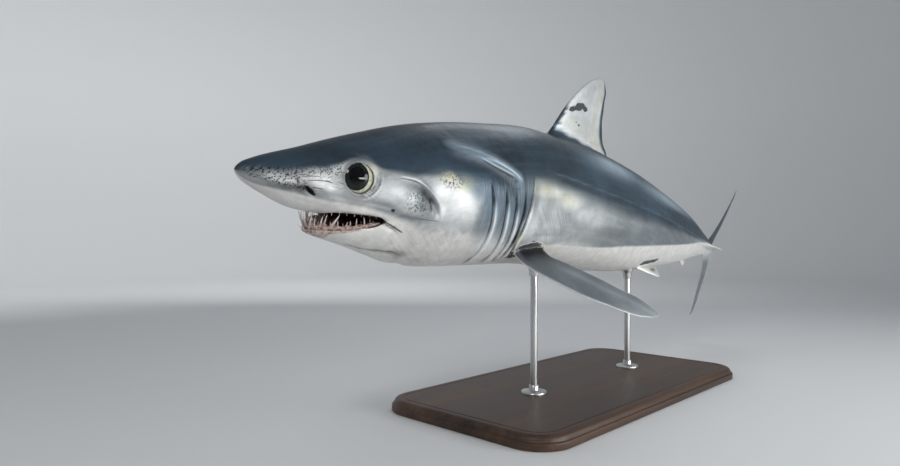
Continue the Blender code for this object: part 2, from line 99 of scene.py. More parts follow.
LOWER_LOBE = (
    (0.0, -0.02, 0.031), (0.008, -0.01, 0.031), (0.02, 0.003, 0.0335), (0.045, 0.02, 0.043),
    (0.075, 0.033, 0.05), (0.1, 0.043, 0.056), (0.115, 0.049, 0.056), (0.1215, 0.052, 0.0545),
)
UPPER_LOBE_ROOT = (0.87, 0.0, -0.001)
LOWER_LOBE_ROOT = (0.87, 0.0, 0.003)
LOWER_LOBE_CHORD = (0.985, -0.12, 0.0)
LOWER_LOBE_SPAN = (0.0, 0.1, -1.0)
PECTORAL_FIN = (
    (-0.012, -0.002, 0.04), (0.0, -0.001, 0.042), (0.012, -0.001, 0.044), (0.025, 0.004, 0.0585),
    (0.04, 0.015, 0.0745), (0.055, 0.028, 0.09), (0.07, 0.0425, 0.1035), (0.086, 0.0635, 0.12),
    (0.1, 0.083, 0.1275), (0.107, 0.0965, 0.1295), (0.111, 0.112, 0.126),
)
PECTORAL_ROOT = (0.2823, -0.0486, -0.0484)
PECTORAL_CHORD = (0.984, -0.079, 0.16)
PECTORAL_SPAN = (0.011, -0.869, -0.495)
PELVIC_FIN = (
    (-0.008, -0.002, 0.026), (0.0, 0.0, 0.029), (0.004, 0.006, 0.0425), (0.01, 0.016, 0.04),
    (0.016, 0.0265, 0.0375), (0.0195, 0.0325, 0.0355),
)
PELVIC_ROOT = (0.574, -0.029, -0.055)
PELVIC_CHORD = (0.978, 0.0, 0.208)
PELVIC_SPAN = (0.0, -0.78, -0.626)
FIN_THICKNESS = 0.095  # of the chord
FIN_THINNING = 0.35
FIN_EDGE = 0.0005  # metres
FLARE_REACH = 0.006  # metres
EYE_CENTRE = (0.0863, -0.0282, 0.0044)
EYE_FACES = (-0.3, -0.93, 0.18)
EYE_DEPTH, EYE_RADIUS = 0.0092 * TOTAL_LENGTH, 0.015 * TOTAL_LENGTH  # metres
LOWER_ROW_SHARE = 0.86
UPPER_ROW_SHARE = 0.8
BEND_FROM_TL = 0.35
SWAY_FRONT = math.radians(-24.7)
SWAY_TAIL = math.radians(77.6)
ARCH = math.radians(-10.7)
TWIST = math.radians(3.2)
TAIL_DOWN = math.radians(4.0)
BANK = math.radians(12.0)
POSE_STEPS = 401

# ---------------------------------------------------------------- the skin's own detail

# From here on sizes are metres, apart from those said to be shares of the length.

# Rings along the body: from, to and their spacing, in shares of the length.
RING_SPANS = (
    (0.008, 0.06, 0.0016), (0.06, 0.112, 0.00105), (0.112, 0.16, 0.0014), (0.16, 0.206, 0.002),
    (0.206, 0.29, 0.0014), (0.29, 0.33, 0.002), (0.33, 0.7, 0.0042), (0.7, 0.89, 0.003),
)
RING_ROOM = 0.0006  # between a slit's rings and the others, in shares of the length
# Points round half a ring: from, to in degrees from the back, and how many.
GIRTH_SPANS = ((0, 50, 14), (50, 135, 48), (135, 180, 18))

# Each gill slit: where it runs, as degrees round from the back and share of the length.
GILL_SLITS = (
    ((55, 0.213), (69, 0.2175), (84, 0.2212), (93, 0.2228), (111, 0.2252), (131, 0.2278), (150, 0.229)),
    ((55, 0.231), (66, 0.2345), (84, 0.239), (96, 0.2405), (118, 0.2456), (146, 0.2525), (152, 0.253)),
    ((55, 0.245), (69, 0.2486), (85, 0.253), (103, 0.2557), (122, 0.2595), (140, 0.264), (152, 0.266)),
    ((55, 0.26), (68, 0.2648), (86, 0.2662), (103, 0.265), (122, 0.268), (140, 0.2715), (152, 0.274)),
    ((55, 0.283), (69, 0.2791), (82, 0.2757), (98, 0.2718), (115, 0.2712), (132, 0.2785), (152, 0.285)),
)
# Where each slit's rings leave the back and the belly, in shares of the length, and where round it is cut.
GILL_NOMINAL = (0.2235, 0.2415, 0.255, 0.266, 0.276)
GILL_REACH = ((64, 153), (67, 151), (69, 148), (70, 142), (68, 138))
# Rings at each slit, in metres from it.
GILL_RINGS = (-0.0042, -0.0024, -0.0012, -0.0005, 0.0, 0.0005, 0.0011, 0.0019, 0.0031, 0.0048)
GILL_DEPTH = 0.0042
# For each slit: how dark its painted shadow is, and from where to where round how bright the painted
# highlight on its rear rim is.
GILL_LOOKS = (
    (0.5, (84, 142), 1.0), (0.5, (85, 144), 1.0), (0.5, (88, 136), 1.0), (0.75, (94, 126), 0.7),
    (0.95, (86, 126), 0.9),
)
GILL_RIM = 0.0026
GILL_WIDTH = 0.0009
GILL_FALL = 0.0018  # how far the skin falls towards a slit in front of it
GILL_ROOM = 0.016  # before the first slit and behind the last, in shares of the length
GILL_SLOPE_LIMITS = (0.004, 0.02)
CHIN_POINT = 0.24  # how much narrower the jaw is at the chin
CHIN_AT = (0.068, 0.009)  # where, and how far along, in shares of the length


def smooth(at, table, column):
    """A column of a table of stations, read at any length by a cubic that doesn't overshoot."""
    table = np.asarray(table, float)
    x, y = table[:, 0], table[:, column]
    step = np.diff(x)
    slope = np.diff(y) / step
    inner = np.zeros(len(x))
    same = slope[1:] * slope[:-1] > 0
    before, after = 2 * step[1:] + step[:-1], step[1:] + 2 * step[:-1]
    with np.errstate(divide="ignore", invalid="ignore"):
        mean = (before + after) / (before / slope[:-1] + after / slope[1:])
    inner[1:-1] = np.where(same, mean, 0.0)
    inner[0], inner[-1] = slope[0], slope[-1]
    at = np.clip(np.asarray(at, float), x[0], x[-1])
    i = np.clip(np.searchsorted(x, at, side="right") - 1, 0, len(x) - 2)
    t = (at - x[i]) / step[i]
    return (
        y[i] * (1 + 2 * t) * (1 - t) ** 2
        + y[i + 1] * t**2 * (3 - 2 * t)
        + step[i] * t * (1 - t) * (inner[i] * (1 - t) - inner[i + 1] * t)
    )


def columns(at, table):
    """Every column of such a table after the first."""
    return [smooth(at, table, i) for i in range(1, len(table[0]))]


def ease(value, low, high):
    """0 at low, 1 at high, and a soft S between."""
    t = np.clip((np.asarray(value, float) - low) / (high - low), 0, 1)
    return t * t * (3 - 2 * t)


def hill(value, width):
    """1 at 0, falling away over the width on both sides."""
    return np.exp(-((np.asarray(value, float) / width) ** 2))


def within(value, low, high, soft):
    """1 between low and high, with soft ends inside them."""
    return ease(value, low, low + soft) * (1 - ease(value, high - soft, high))


def unit(v):
    v = np.asarray(v, float)
    return v / np.linalg.norm(v, axis=-1, keepdims=True)


def body_surface(at, turn):
    """Points of the smooth body in metres, at shares of the length and angles from the back by the left."""
    at, turn = np.broadcast_arrays(np.asarray(at, float), np.asarray(turn, float))
    top, bottom, half, widest, square = columns(at, BODY_STATIONS)
    nose = np.sqrt(np.clip(1 - (1 - np.minimum(at / NOSE_ROUND_TL, 1.0)) ** 2, 0, 1))
    side = np.abs(np.abs(turn - math.pi) - math.pi / 2)
    keel = smooth(at, KEEL_STATIONS, 1) * np.exp(-((side / KEEL_SPREAD) ** 2))
    up = np.cos(turn)
    height = np.where(up > 0, top - widest, widest - bottom) * nose
    rise = np.sign(up) * np.abs(up) ** np.where(up > 0, 1.0, square)
    across = -np.sin(turn) * (half * nose + keel)
    return np.stack([at, across, widest * nose + height * rise], -1) * TOTAL_LENGTH


def girth(points):
    """How far round from the back points are, in degrees from 0 to 180 on either side."""
    at = points[:, 0] / TOTAL_LENGTH
    top, bottom, half, widest, square = columns(at, BODY_STATIONS)
    z = points[:, 2] / TOTAL_LENGTH - widest
    up = np.where(z > 0, z / (top - widest), -(np.abs(z) / (widest - bottom)) ** (1 / square))
    return np.degrees(np.arctan2(np.abs(points[:, 1]) / TOTAL_LENGTH / half, up))


def mouth_floor(at, out):
    top, half = smooth(at, JAW_STATIONS, 1), jaw_half(at)
    dish = MOUTH_FLOOR_TL * np.interp(half, MOUTH_FLOOR_WIDTHS, (0, 1))
    return top - dish * np.clip(1 - (out / half) ** 2, 0, 1) ** 0.75


def jaw_half(at):
    """Half the jaw's width, with a chin a little more pointed than that of its solid."""
    return smooth(at, JAW_STATIONS, 3) * (1 - CHIN_POINT * hill(at - CHIN_AT[0], CHIN_AT[1]))


def jaw_surface(at, turn):
    """Points of the lower jaw in metres: a dished top between two lips, and a round underside."""
    at, turn = np.broadcast_arrays(np.asarray(at, float), np.asarray(turn, float))
    top, bottom, half = smooth(at, JAW_STATIONS, 1), smooth(at, JAW_STATIONS, 2), jaw_half(at)
    across, up = -np.sin(turn), np.cos(turn)
    above = mouth_floor(at, across * half)
    z = np.where(up > -1e-9, above, top + (top - bottom) * up)
    return np.stack([at, across * half, z], -1) * TOTAL_LENGTH


def heading(yaw, pitch):
    return np.stack([np.cos(yaw) * np.cos(pitch), np.sin(yaw) * np.cos(pitch), np.sin(pitch)], 1)


def posed(points):
    """Points of the straight shark, bent, twisted and banked as it swims, its snout still at the origin."""
    points = np.asarray(points, float) / TOTAL_LENGTH
    at = np.linspace(0, 1, POSE_STEPS)
    past = at - BEND_FROM_TL
    yaw, pitch = SWAY_FRONT * past + SWAY_TAIL * past * np.abs(past), ARCH * past
    ways = heading(yaw, pitch)
    steps = (ways[1:] + ways[:-1]) / 2 / (POSE_STEPS - 1)
    line = np.concatenate([np.zeros((1, 3)), np.cumsum(steps, 0)])
    x = np.clip(points[:, 0], 0, 1)
    beyond = points[:, 0] - x
    yaw, pitch = np.interp(x, at, yaw), np.interp(x, at, pitch)
    twist = TWIST * (x - BEND_FROM_TL)
    y = points[:, 1] * np.cos(twist) - points[:, 2] * np.sin(twist)
    z = points[:, 1] * np.sin(twist) + points[:, 2] * np.cos(twist)
    ahead = heading(yaw, pitch)
    across = np.stack([-np.sin(yaw), np.cos(yaw), 0 * yaw], 1)
    above = np.stack([-np.cos(yaw) * np.sin(pitch), -np.sin(yaw) * np.sin(pitch), np.cos(pitch)], 1)
    centre = np.stack([np.interp(x, at, line[:, i]) for i in range(3)], 1)
    bent = centre + ahead * beyond[:, None] + across * y[:, None] + above * z[:, None]
    turned = Matrix.Rotation(TAIL_DOWN, 3, "Y") @ Matrix.Rotation(BANK, 3, "X")
    return bent @ np.array(turned).T * TOTAL_LENGTH


def snout_place():
    """Where the snout is, from where the frame has the left eye."""
    low, high = (np.array(corner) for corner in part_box("eye_left"))
    return (low + high) / 2 - posed(np.array([EYE_CENTRE]) * TOTAL_LENGTH)[0]


SNOUT = snout_place()


def in_place(points):
    return posed(points) + SNOUT


# ---------------------------------------------------------------- meshes


def mesh_object(name, points, faces, part=None):
    """An object of these points and faces. Each face wears the slot numbered for its part."""
    mesh = bpy.data.meshes.new(name)
    mesh.from_pydata(np.asarray(points).tolist(), [], faces)
    for _ in PARTS if part else (None,):
        mesh.materials.append(None)
    mesh.polygons.foreach_set("material_index", np.full(len(faces), PART[part] if part else 0, np.int32))
    made = bpy.data.objects.new(name, mesh)
    bpy.context.scene.collection.objects.link(made)
    if signed_volume(mesh) < 0:
        mesh.flip_normals()
    mesh.shade_smooth()
    return made


def read_all(items, field, width=1, kind=float):
    """A field of all items, as a row for each when it's wider than one number."""
    found = np.empty(len(items) * width, kind)
    items.foreach_get(field, found)
    return found.reshape(-1, width) if width > 1 else found


def corners(mesh):
    """Triangles of a mesh, by their vertices."""
    mesh.calc_loop_triangles()
    return read_all(mesh.loop_triangles, "vertices", 3, np.int32)


def places(mesh):
    return read_all(mesh.vertices, "co", 3)


def put(mesh, points):
    mesh.vertices.foreach_set("co", np.asarray(points, float).ravel())
    mesh.update()


def signed_volume(mesh):
    a, b, c = (places(mesh)[corner] for corner in corners(mesh).T)
    return float(np.einsum("ij,ij->i", a, np.cross(b, c)).sum() / 6)


def outward(mesh):
    """The direction out of the surface at each vertex."""
    return read_all(mesh.vertex_normals, "vector", 3)


def circle(count):
    """Angles evenly round a circle."""
    return np.linspace(0, 2 * math.pi, count, endpoint=False)


def grid_faces(rings, count, closed=True):
    """Four-sided faces between rings of count points each."""
    i, j = np.meshgrid(np.arange(rings - 1), np.arange(count if closed else count - 1), indexing="ij")
    after = (j + 1) % count
    quads = np.stack([i * count + j, i * count + after, (i + 1) * count + after, (i + 1) * count + j], -1)
    return [tuple(q) for q in quads.reshape(-1, 4).tolist()]


def loft(name, grid, part=None):
    """A closed shape over a grid of rings, with a fan at each end."""
    rings, count = grid.shape[:2]
    hubs = [(ring[0] + ring[count // 2])[None] / 2 for ring in (grid[0], grid[-1])]
    points = np.concatenate([grid.reshape(-1, 3), *hubs])
    faces = grid_faces(rings, count)
    first, last, start = len(points) - 2, len(points) - 1, (rings - 1) * count
    for j in range(count):
        after = (j + 1) % count
        faces.append((first, after, j))
        faces.append((last, start + j, start + after))
    return mesh_object(name, points, faces, part)


def flattened(obj):
    """Gives an object the mesh that its modifiers make, and removes them."""
    graph = bpy.context.evaluated_depsgraph_get()
    mesh = bpy.data.meshes.new_from_object(obj.evaluated_get(graph))
    obj.modifiers.clear()
    old, obj.data = obj.data, mesh
    bpy.data.meshes.remove(old)
    return obj


def discard(obj):
    mesh = obj.data
    bpy.data.objects.remove(obj)
    bpy.data.meshes.remove(mesh)


def combined(target, tools, operation):
    """Joins tools to an object, or cuts them out of it, and removes them."""
    for tool in tools:
        step = target.modifiers.new(tool.name, "BOOLEAN")
        step.operation = operation
        step.object = tool
        step.solver = "MANIFOLD"
    flattened(target)
    for tool in tools:
        discard(tool)
    return target


def touches(mesh, *names):
    """Which vertices have a face of these parts."""
    parts = read_all(mesh.polygons, "material_index", kind=np.int32)
    parts = np.repeat(parts, read_all(mesh.polygons, "loop_total", kind=np.int32))
    vertices = read_all(mesh.loops, "vertex_index", kind=np.int32)
    found = np.zeros(len(mesh.vertices), bool)
    found[vertices[np.isin(parts, [PART[name] for name in names])]] = True
    return found


SOFTENING = 0.6


def soften(mesh, near, rounds):
    """Evens the surface out, by a share near for each vertex."""
    pairs, points = read_all(mesh.edges, "vertices", 2, np.int32), places(mesh)
    ends = np.concatenate([pairs, pairs[:, ::-1]])
    count = np.bincount(ends[:, 0], minlength=len(points))[:, None]
    for _ in range(rounds):
        total = np.stack([np.bincount(ends[:, 0], points[ends[:, 1], k], len(points)) for k in range(3)], 1)
        points = points + (total / count - points) * (near * SOFTENING)[:, None]
    put(mesh, points)


def close_to(points, targets, reach):
    """The numbers of the points in a box round the targets."""
    low, high = targets.min(0) - reach, targets.max(0) + reach
    return np.nonzero(((points > low) & (points < high)).all(1))[0]


def distance_to(points, targets, reach):
    """How far each point is from the nearest target, up to the reach."""
    tree = KDTree(len(targets))
    for i, target in enumerate(targets):
        tree.insert(target, i)
    tree.balance()
    found = np.full(len(points), reach, float)
    for i in close_to(points, targets, reach):
        found[i] = min(tree.find(points[i])[2], reach)
    return found


# ---------------------------------------------------------------- the body, jaw and fins


def gill_places(degrees):
    """For each slit, the share of the length at which its line crosses these degrees round."""
    found = []
    for slit, nominal in zip(GILL_SLITS, GILL_NOMINAL):
        table = ((0, nominal), (25, nominal), *slit, (172, nominal), (180.01, nominal))
        found.append(smooth(degrees, table, 1))
    return np.stack(found)


def ring_lengths():
    """The share of the length of every ring, closer where the slits are."""
    lengths = [NOSE_ROUND_TL * (1 - np.cos(np.linspace(0.09, 1, 8) * math.pi / 2))[:-1]]
    for start, end, spacing in RING_SPANS:
        lengths.append(np.linspace(start, end, max(2, round((end - start) / spacing)), endpoint=False))
    lengths = np.concatenate([*lengths, [BODY_END_TL]])
    slits, rings = np.array(GILL_NOMINAL), np.array(GILL_RINGS) / TOTAL_LENGTH
    gap = lengths[:, None] - slits
    free = ~((gap > rings[0] - RING_ROOM) & (gap < rings[-1] + RING_ROOM)).any(1)
    return np.sort(np.concatenate([lengths[free], (slits[:, None] + rings).ravel()]))


def girth_angles():
    half = [np.linspace(start, end, count, endpoint=False) for start, end, count in GIRTH_SPANS]
    half = np.concatenate(half)
    return np.radians(np.concatenate([half, [180], 360 - half[:0:-1]]))


def swept_lengths(lengths, degrees):
    """Moves the rings between the slits so that each slit has rings that follow it."""
    before, behind = (0, 0.2), (0.305, 1)
    even = (*before, *GILL_NOMINAL, *behind)
    swept = [np.interp(lengths, even, (*before, *slits, *behind)) for slits in gill_places(degrees).T]
    return np.stack(swept, 1)


def gill_shape(at, degrees):
    """The slits' depth and the rims behind them, in metres, and how dark the slits' painted shadow and how
    bright the rims' painted highlight are.
    """
    slits = gill_places(degrees[0])
    height, dark, bright = (np.zeros(at.shape) for _ in range(3))
    for k, (start, end) in enumerate(GILL_REACH):
        past = (at - slits[k]) * TOTAL_LENGTH
        on = ease(degrees, start, start + 20) * (1 - ease(degrees, end - 9, end))
        before = slits[k] - (slits[k - 1] if k else slits[k] - GILL_ROOM)
        after = (slits[k + 1] if k < 4 else slits[k] + GILL_ROOM) - slits[k]
        lead, trail = (np.clip(room * TOTAL_LENGTH, *GILL_SLOPE_LIMITS) * 0.33 for room in (before, after))
        stands = on * (1 - 0.55 * ease(degrees, 112, 132))
        height -= GILL_DEPTH * hill(past, GILL_WIDTH) * on
        height -= np.where(past < 0, GILL_FALL * np.exp(np.minimum(past, 0) / lead), 0) * on
        rise = ease(past, 0.0002, 0.0012)
        height += GILL_RIM * rise * np.exp(-np.maximum(past - 0.0012, 0) / trail) * stands
        darkness, (top, bottom), glow = GILL_LOOKS[k]
        darkness = darkness * (0.55 + 0.45 * ease(degrees, 84, 102))
        dark = np.maximum(dark, darkness * hill(past + 0.0004, 0.0015) * on)
        lit = ease(degrees, top - 5, top + 5) * (1 - ease(degrees, bottom - 9, bottom + 5))
        fades = np.exp(-((np.maximum(past - 0.0014, 0) / 0.0056) ** 2))
        bright = np.maximum(bright, glow * rise * fades * lit * on)
    return height, dark, bright


def section_normals(grid):
    along = np.gradient(grid, axis=0)
    around = (np.roll(grid, -1, 1) - np.roll(grid, 1, 1)) / 2
    return unit(np.cross(around, along) + 1e-12)


def body_grid():
    turn = girth_angles()
    degrees = np.degrees(turn)
    folded = np.minimum(degrees, 360 - degrees)
    at = swept_lengths(ring_lengths(), folded)
    grid = body_surface(at, turn[None])
    height, _, _ = gill_shape(at, np.broadcast_to(folded, at.shape))
    return grid + section_normals(grid) * height[..., None]


def foil(chord, thickness, edge, count):
    """A streamlined section as wings have: shares of the chord with the half thickness there."""
    x = (1 - np.cos(np.linspace(0, math.pi, count))) / 2
    shape = 0.2969 * np.sqrt(x) - 0.126 * x - 0.3516 * x**2 + 0.2843 * x**3 - 0.1036 * x**4
    return x, 5 * thickness * chord * shape + edge * np.sqrt(x)


def fin_axes(chord_way, span_way):
    chord_way = Vector(chord_way).normalized()
    normal = chord_way.cross(Vector(span_way)).normalized()
    return np.array(chord_way), np.array(normal.cross(chord_way)), np.array(normal)


def fin_grid(table, root, chord_way, span_way, rings, count, flare, wave):
    """Rings of a fin from inside the body to its tip, thicker at the root where it flows into the body."""
    ahead, span, normal = fin_axes(chord_way, span_way)
    first, last = table[0][0], table[-1][0]
    reach = first + (last - first) * np.sin(np.linspace(0, 1, rings) * math.pi / 2)
    grid = []
    for out in reach:
        front, rear = (float(edge) for edge in columns(out, table))
        share = max(out, 0.0) / last
        chord = (rear - front) * TOTAL_LENGTH
        x, half = foil(chord, FIN_THICKNESS * (1 - FIN_THINNING * share), FIN_EDGE, count)
        foot = flare * math.exp(-max(out, 0) * TOTAL_LENGTH / FLARE_REACH)
        half = half + foot * np.sqrt(np.clip(x * (1 - x), 0, 1)) * 2
        along = np.concatenate([x, x[-2:0:-1]])
        face = np.concatenate([half, -half[-2:0:-1]])
        ripple = wave * math.sin(out * TOTAL_LENGTH * 170 + 1.3) * along**6
        start = (np.array(root) + ahead * front + span * out) * TOTAL_LENGTH
        grid.append(start + np.outer(along * chord + ripple, ahead) + np.outer(face, normal))
    return np.array(grid)


PARTS = (
    "body", "jaw", "dorsal", "second_dorsal", "anal", "upper_lobe", "lower_lobe", "pectoral", "pelvic",
    "mouth", "socket", "nostril",
)
PART = {name: i for i, name in enumerate(PARTS)}
# Ways along the chord and outwards.
UPRIGHT = ((1, 0, 0), (0, 0, 1))
HANGING = ((1, 0, 0), (0, 0, -1))
LEANING = ((1, 0, 0), (0, 0.9, 0.7))
# Each fin: its table, root and two ways, how many rings and points, and in metres how much it thickens where
# it meets the body and how far its rear edge waves.
FINS = {
    "dorsal": (FIRST_DORSAL, FIRST_DORSAL_ROOT, *UPRIGHT, 46, 30, 0.003, 0.0006),
    "second_dorsal": (SECOND_DORSAL, SECOND_DORSAL_ROOT, *LEANING, 14, 12, 0.0008, 0.0),
    "anal": (SECOND_DORSAL, ANAL_FIN_ROOT, *HANGING, 14, 12, 0.0008, 0.0),
    "upper_lobe": (UPPER_LOBE, UPPER_LOBE_ROOT, *UPRIGHT, 50, 22, 0.001, 0.0005),
    "lower_lobe": (LOWER_LOBE, LOWER_LOBE_ROOT, LOWER_LOBE_CHORD, LOWER_LOBE_SPAN, 50, 22, 0.001, 0.0005),
    "pectoral": (PECTORAL_FIN, PECTORAL_ROOT, PECTORAL_CHORD, PECTORAL_SPAN, 60, 30, 0.0035, 0.0006),
    "pelvic": (PELVIC_FIN, PELVIC_ROOT, PELVIC_CHORD, PELVIC_SPAN, 26, 18, 0.0012, 0.0002),
}


def joined_skin():
    """The body with its jaw and fins, as one closed surface."""
    skin = loft("skin", body_grid(), "body")
    first, last = JAW_STATIONS[0][0], JAW_STATIONS[-1][0] - 0.002
    lengths = first + (last - first) * np.linspace(0, 1, 76) ** 1.25
    turn = circle(96)
    tools = [loft("jaw", jaw_surface(lengths[:, None], turn[None]), "jaw")]
    for name, shape in FINS.items():
        grid = fin_grid(*shape)
        tools.append(loft(name, grid, name))
        if name in ("pectoral", "pelvic"):
            tools.append(loft(f"{name}_right", grid * (1, -1, 1), name))
    return combined(skin, tools, "UNION")


CHEEK_REACH = 0.012
CHEEK_FROM_TL = (0.114, 0.128)
# Fins, how far their roots are blended in metres, and how many times.
ROOT_BLENDS = (
    (("dorsal", "pectoral"), 0.009, 14), (("second_dorsal", "anal", "pelvic"), 0.004, 8),
    (("upper_lobe", "lower_lobe"), 0.007, 12),
)


def blend_roots(skin):
    """Rounds the joins of the fins and the cheeks."""
    mesh = skin.data
    body = touches(mesh, "body")
    points = places(mesh)
    for names, reach, rounds in ROOT_BLENDS:
        seam = body & touches(mesh, *names)
        near = hill(distance_to(points, points[seam], reach * 2), reach * 0.7)
        soften(mesh, near * (near > 0.02), rounds)
    seam = body & touches(mesh, "jaw")
    near = hill(distance_to(points, points[seam], CHEEK_REACH * 2.5), CHEEK_REACH)
    soften(mesh, near * (near > 0.02) * ease(points[:, 0] / TOTAL_LENGTH, *CHEEK_FROM_TL), 40)


# ---------------------------------------------------------------- folds, lids and openings

# Lines on the left side that are folded into both. Each has its points (share of the length and degrees
# round, or three shares of the length), then in metres a ridge's height and width, a groove's depth,
# width and distance to one side, the shares of the line over which it fades in and out, and how dark the
# groove's painted shade and how bright the ridge's painted highlight are.
FOLDS = {
    "jaw_muscle": (
        ((0.118, 68), (0.128, 68.3), (0.1375, 71), (0.145, 76.5), (0.151, 81.5), (0.1585, 87), (0.163, 95),
         (0.164, 101)),
        (0.002, 0.0021), (0.0034, 0.0048, -0.0066), (0.5, 0.25), (0.6, 0.62),
    ),
    "muscle_shadow": (
        ((0.145, 80), (0.15, 85), (0.152, 90), (0.151, 96)),
        (0.0, 0.001), (0.0014, 0.0026, 0.0), (0.3, 0.3), (0.72, 0.0),
    ),
    "gill_arch": (
        ((0.165, 35), (0.18, 41), (0.2, 45.5), (0.22, 50.5), (0.24, 57.5), (0.252, 62.5), (0.264, 69)),
        (0.003, 0.008), (0.003, 0.011, -0.019), (0.16, 0.1), (0.34, 0.5),
    ),
    "side_line": (
        ((0.29, 58), (0.4, 66), (0.55, 73), (0.7, 80), (0.8, 86)),
        (0.0006, 0.0022), (0.0004, 0.0026, -0.004), (0.1, 0.1), (0.1, 0.12),
    ),
    "snout_crease": (
        ((0.008, 106), (0.016, 111), (0.024, 113), (0.031, 107), (0.038, 100), (0.045, 94.5)),
        (0.0, 0.001), (0.0022, 0.0056, 0.0), (0.7, 0.02), (0.66, 0.0),
    ),
    "nostril_flap": (
        ((0.042, 99), (0.0455, 104), (0.049, 108), (0.053, 110)),
        (0.0012, 0.002), (0.0, 0.001, 0.0), (0.3, 0.3), (0.0, 0.45),
    ),
    "cheek_crease": (
        ((0.054, 100), (0.062, 98.5), (0.072, 96.5), (0.085, 95.5), (0.1, 95), (0.118, 97), (0.13, 101)),
        (0.0, 0.001), (0.001, 0.0034, 0.0), (0.1, 0.3), (0.18, 0.0),
    ),
    "mouth_corner": (
        ((0.112, 121.0), (0.118, 121.6), (0.124, 121.6), (0.1334, 122.0)),
        (0.001, 0.0022), (0.0028, 0.0028, -0.0016), (0.02, 0.6), (0.95, 0.15),
    ),
    "throat": (
        ((0.09, -0.014, -0.05), (0.098, -0.0154, -0.0521), (0.1095, -0.0172, -0.0546),
         (0.1214, -0.0227, -0.0551), (0.1345, -0.0271, -0.0553), (0.15, -0.032, -0.0547)),
        (0.001, 0.003), (0.0036, 0.0046, -0.0034), (0.3, 0.3), (0.85, 0.15),
    ),
    "lip": (
        ((0.069, 126), (0.08, 121), (0.09, 118), (0.1, 114), (0.11, 114), (0.12, 118)),
        (0.0008, 0.0036), (0.0009, 0.003, -0.006), (0.3, 0.2), (0.22, 0.16),
    ),
}
# Soft swellings and hollows: share of the length, degrees round, reach along and round in metres, height.
SWELLINGS = {
    "jaw_muscle": (0.136, 88, 0.022, 0.02, 0.003),
    "cheek": (0.125, 108, 0.02, 0.012, -0.0012),
    "behind_muscle": (0.164, 86, 0.014, 0.022, -0.0012),
    "before_eye": (0.064, 76, 0.014, 0.008, -0.001),
    "brow": (0.086, 47, 0.022, 0.006, 0.0012),
    "before_gills": (0.198, 92, 0.02, 0.034, 0.0016),
    "shoulder": (0.296, 88, 0.016, 0.04, 0.0014),
    "pit_above": (0.864, 0, 0.0055, 0.01, -0.0032),
    "pit_below": (0.864, 180, 0.0055, 0.01, -0.003),
}
EYE_OPENING = 0.0184  # radius
OPENING_MIDDLE = (-0.0008, -0.0014)  # forwards and up from the eye's axis
LID_THICKNESS = 0.0016
EYE_ROOM = 0.0004  # between the eye and its socket
# Folds round the eye: distance from its middle in openings, how much it grows by the reach's end, half width,
# depth, and where round the eye, in degrees from the front by the top, with the reach of it.
LID_FOLDS = (
    (1.15, 0.13, 0.001, 0.0015, 234, 44), (1.42, 0.13, 0.0013, 0.0018, 226, 40),
    (1.2, 0.04, 0.0011, 0.0007, 70, 55),
)
NOSTRIL_LINE = ((0.045, 91.0), (0.052, 104.0))
NOSTRIL_RADII = (0.0078, 0.0085, 0.0023)  # along, into the head and across
# The mouth's hollow: share of the length, its roof, where it is widest, its floor, and the half width.
MOUTH_STATIONS = (
    (0.0665, -0.0275, -0.033, -0.04, 0.01), (0.072, -0.0238, -0.032, -0.0425, 0.0215),
    (0.08, -0.0222, -0.0315, -0.044, 0.028), (0.09, -0.0216, -0.0305, -0.0445, 0.0318),
    (0.1, -0.0216, -0.0298, -0.044, 0.0362), (0.108, -0.0222, -0.0285, -0.0425, 0.0388),
    (0.113, -0.0236, -0.028, -0.041, 0.0374), (0.117, -0.0246, -0.029, -0.04, 0.033),
    (0.125, -0.024, -0.033, -0.042, 0.0255), (0.14, -0.028, -0.0345, -0.041, 0.018),
    (0.15, -0.032, -0.035, -0.038, 0.009),
)


def drawn_line(path, steps=28):
    """A smooth line through points given on the body, or by three shares of the length, on the left side."""
    path = np.array(path, float)
    scale = (1, 1 / 600) if path.shape[1] == 2 else (1, 1, 1)
    gaps = np.concatenate([[0], np.cumsum(np.linalg.norm(np.diff(path, axis=0) * scale, axis=1))])
    table = np.column_stack([gaps, path])
    t = np.linspace(0, gaps[-1], steps)
    values = columns(t, table)
    if path.shape[1] == 2:
        return body_surface(values[0], np.radians(values[1]))
    return np.stack(values, 1) * TOTAL_LENGTH


def near_line(points, line, reach):
    """Signed distance from a line, above or behind it as positive, and the share along it, within reach."""
    gap, along = np.full(len(points), 1.0), np.zeros(len(points))
    close = close_to(points, line, reach)
    p = points[close]
    best, share, side = np.full(len(p), 1.0), np.zeros(len(p)), np.ones(len(p))
    middle = np.zeros(p.shape)
    middle[:, 0] = p[:, 0]
    middle[:, 2] = smooth(p[:, 0] / TOTAL_LENGTH, BODY_STATIONS, 4) * TOTAL_LENGTH
    away = unit(p - middle)
    for i, (a, b) in enumerate(zip(line[:-1], line[1:])):
        way = b - a
        t = np.clip((p - a) @ way / (way @ way), 0, 1)
        off = p - a - t[:, None] * way
        far = np.linalg.norm(off, axis=1)
        closer = far < best
        best = np.where(closer, far, best)
        share = np.where(closer, (i + t) / (len(line) - 1), share)
        side = np.where(closer, np.sign(np.einsum("ij,ij->i", np.cross(way, off), away)), side)
    gap[close], along[close] = best * np.where(side == 0, 1, side), share
    return gap, along


def left_of(points):
    """The same points with those of the right side mirrored to the left."""
    return np.column_stack([points[:, 0], -np.abs(points[:, 1]), points[:, 2]])


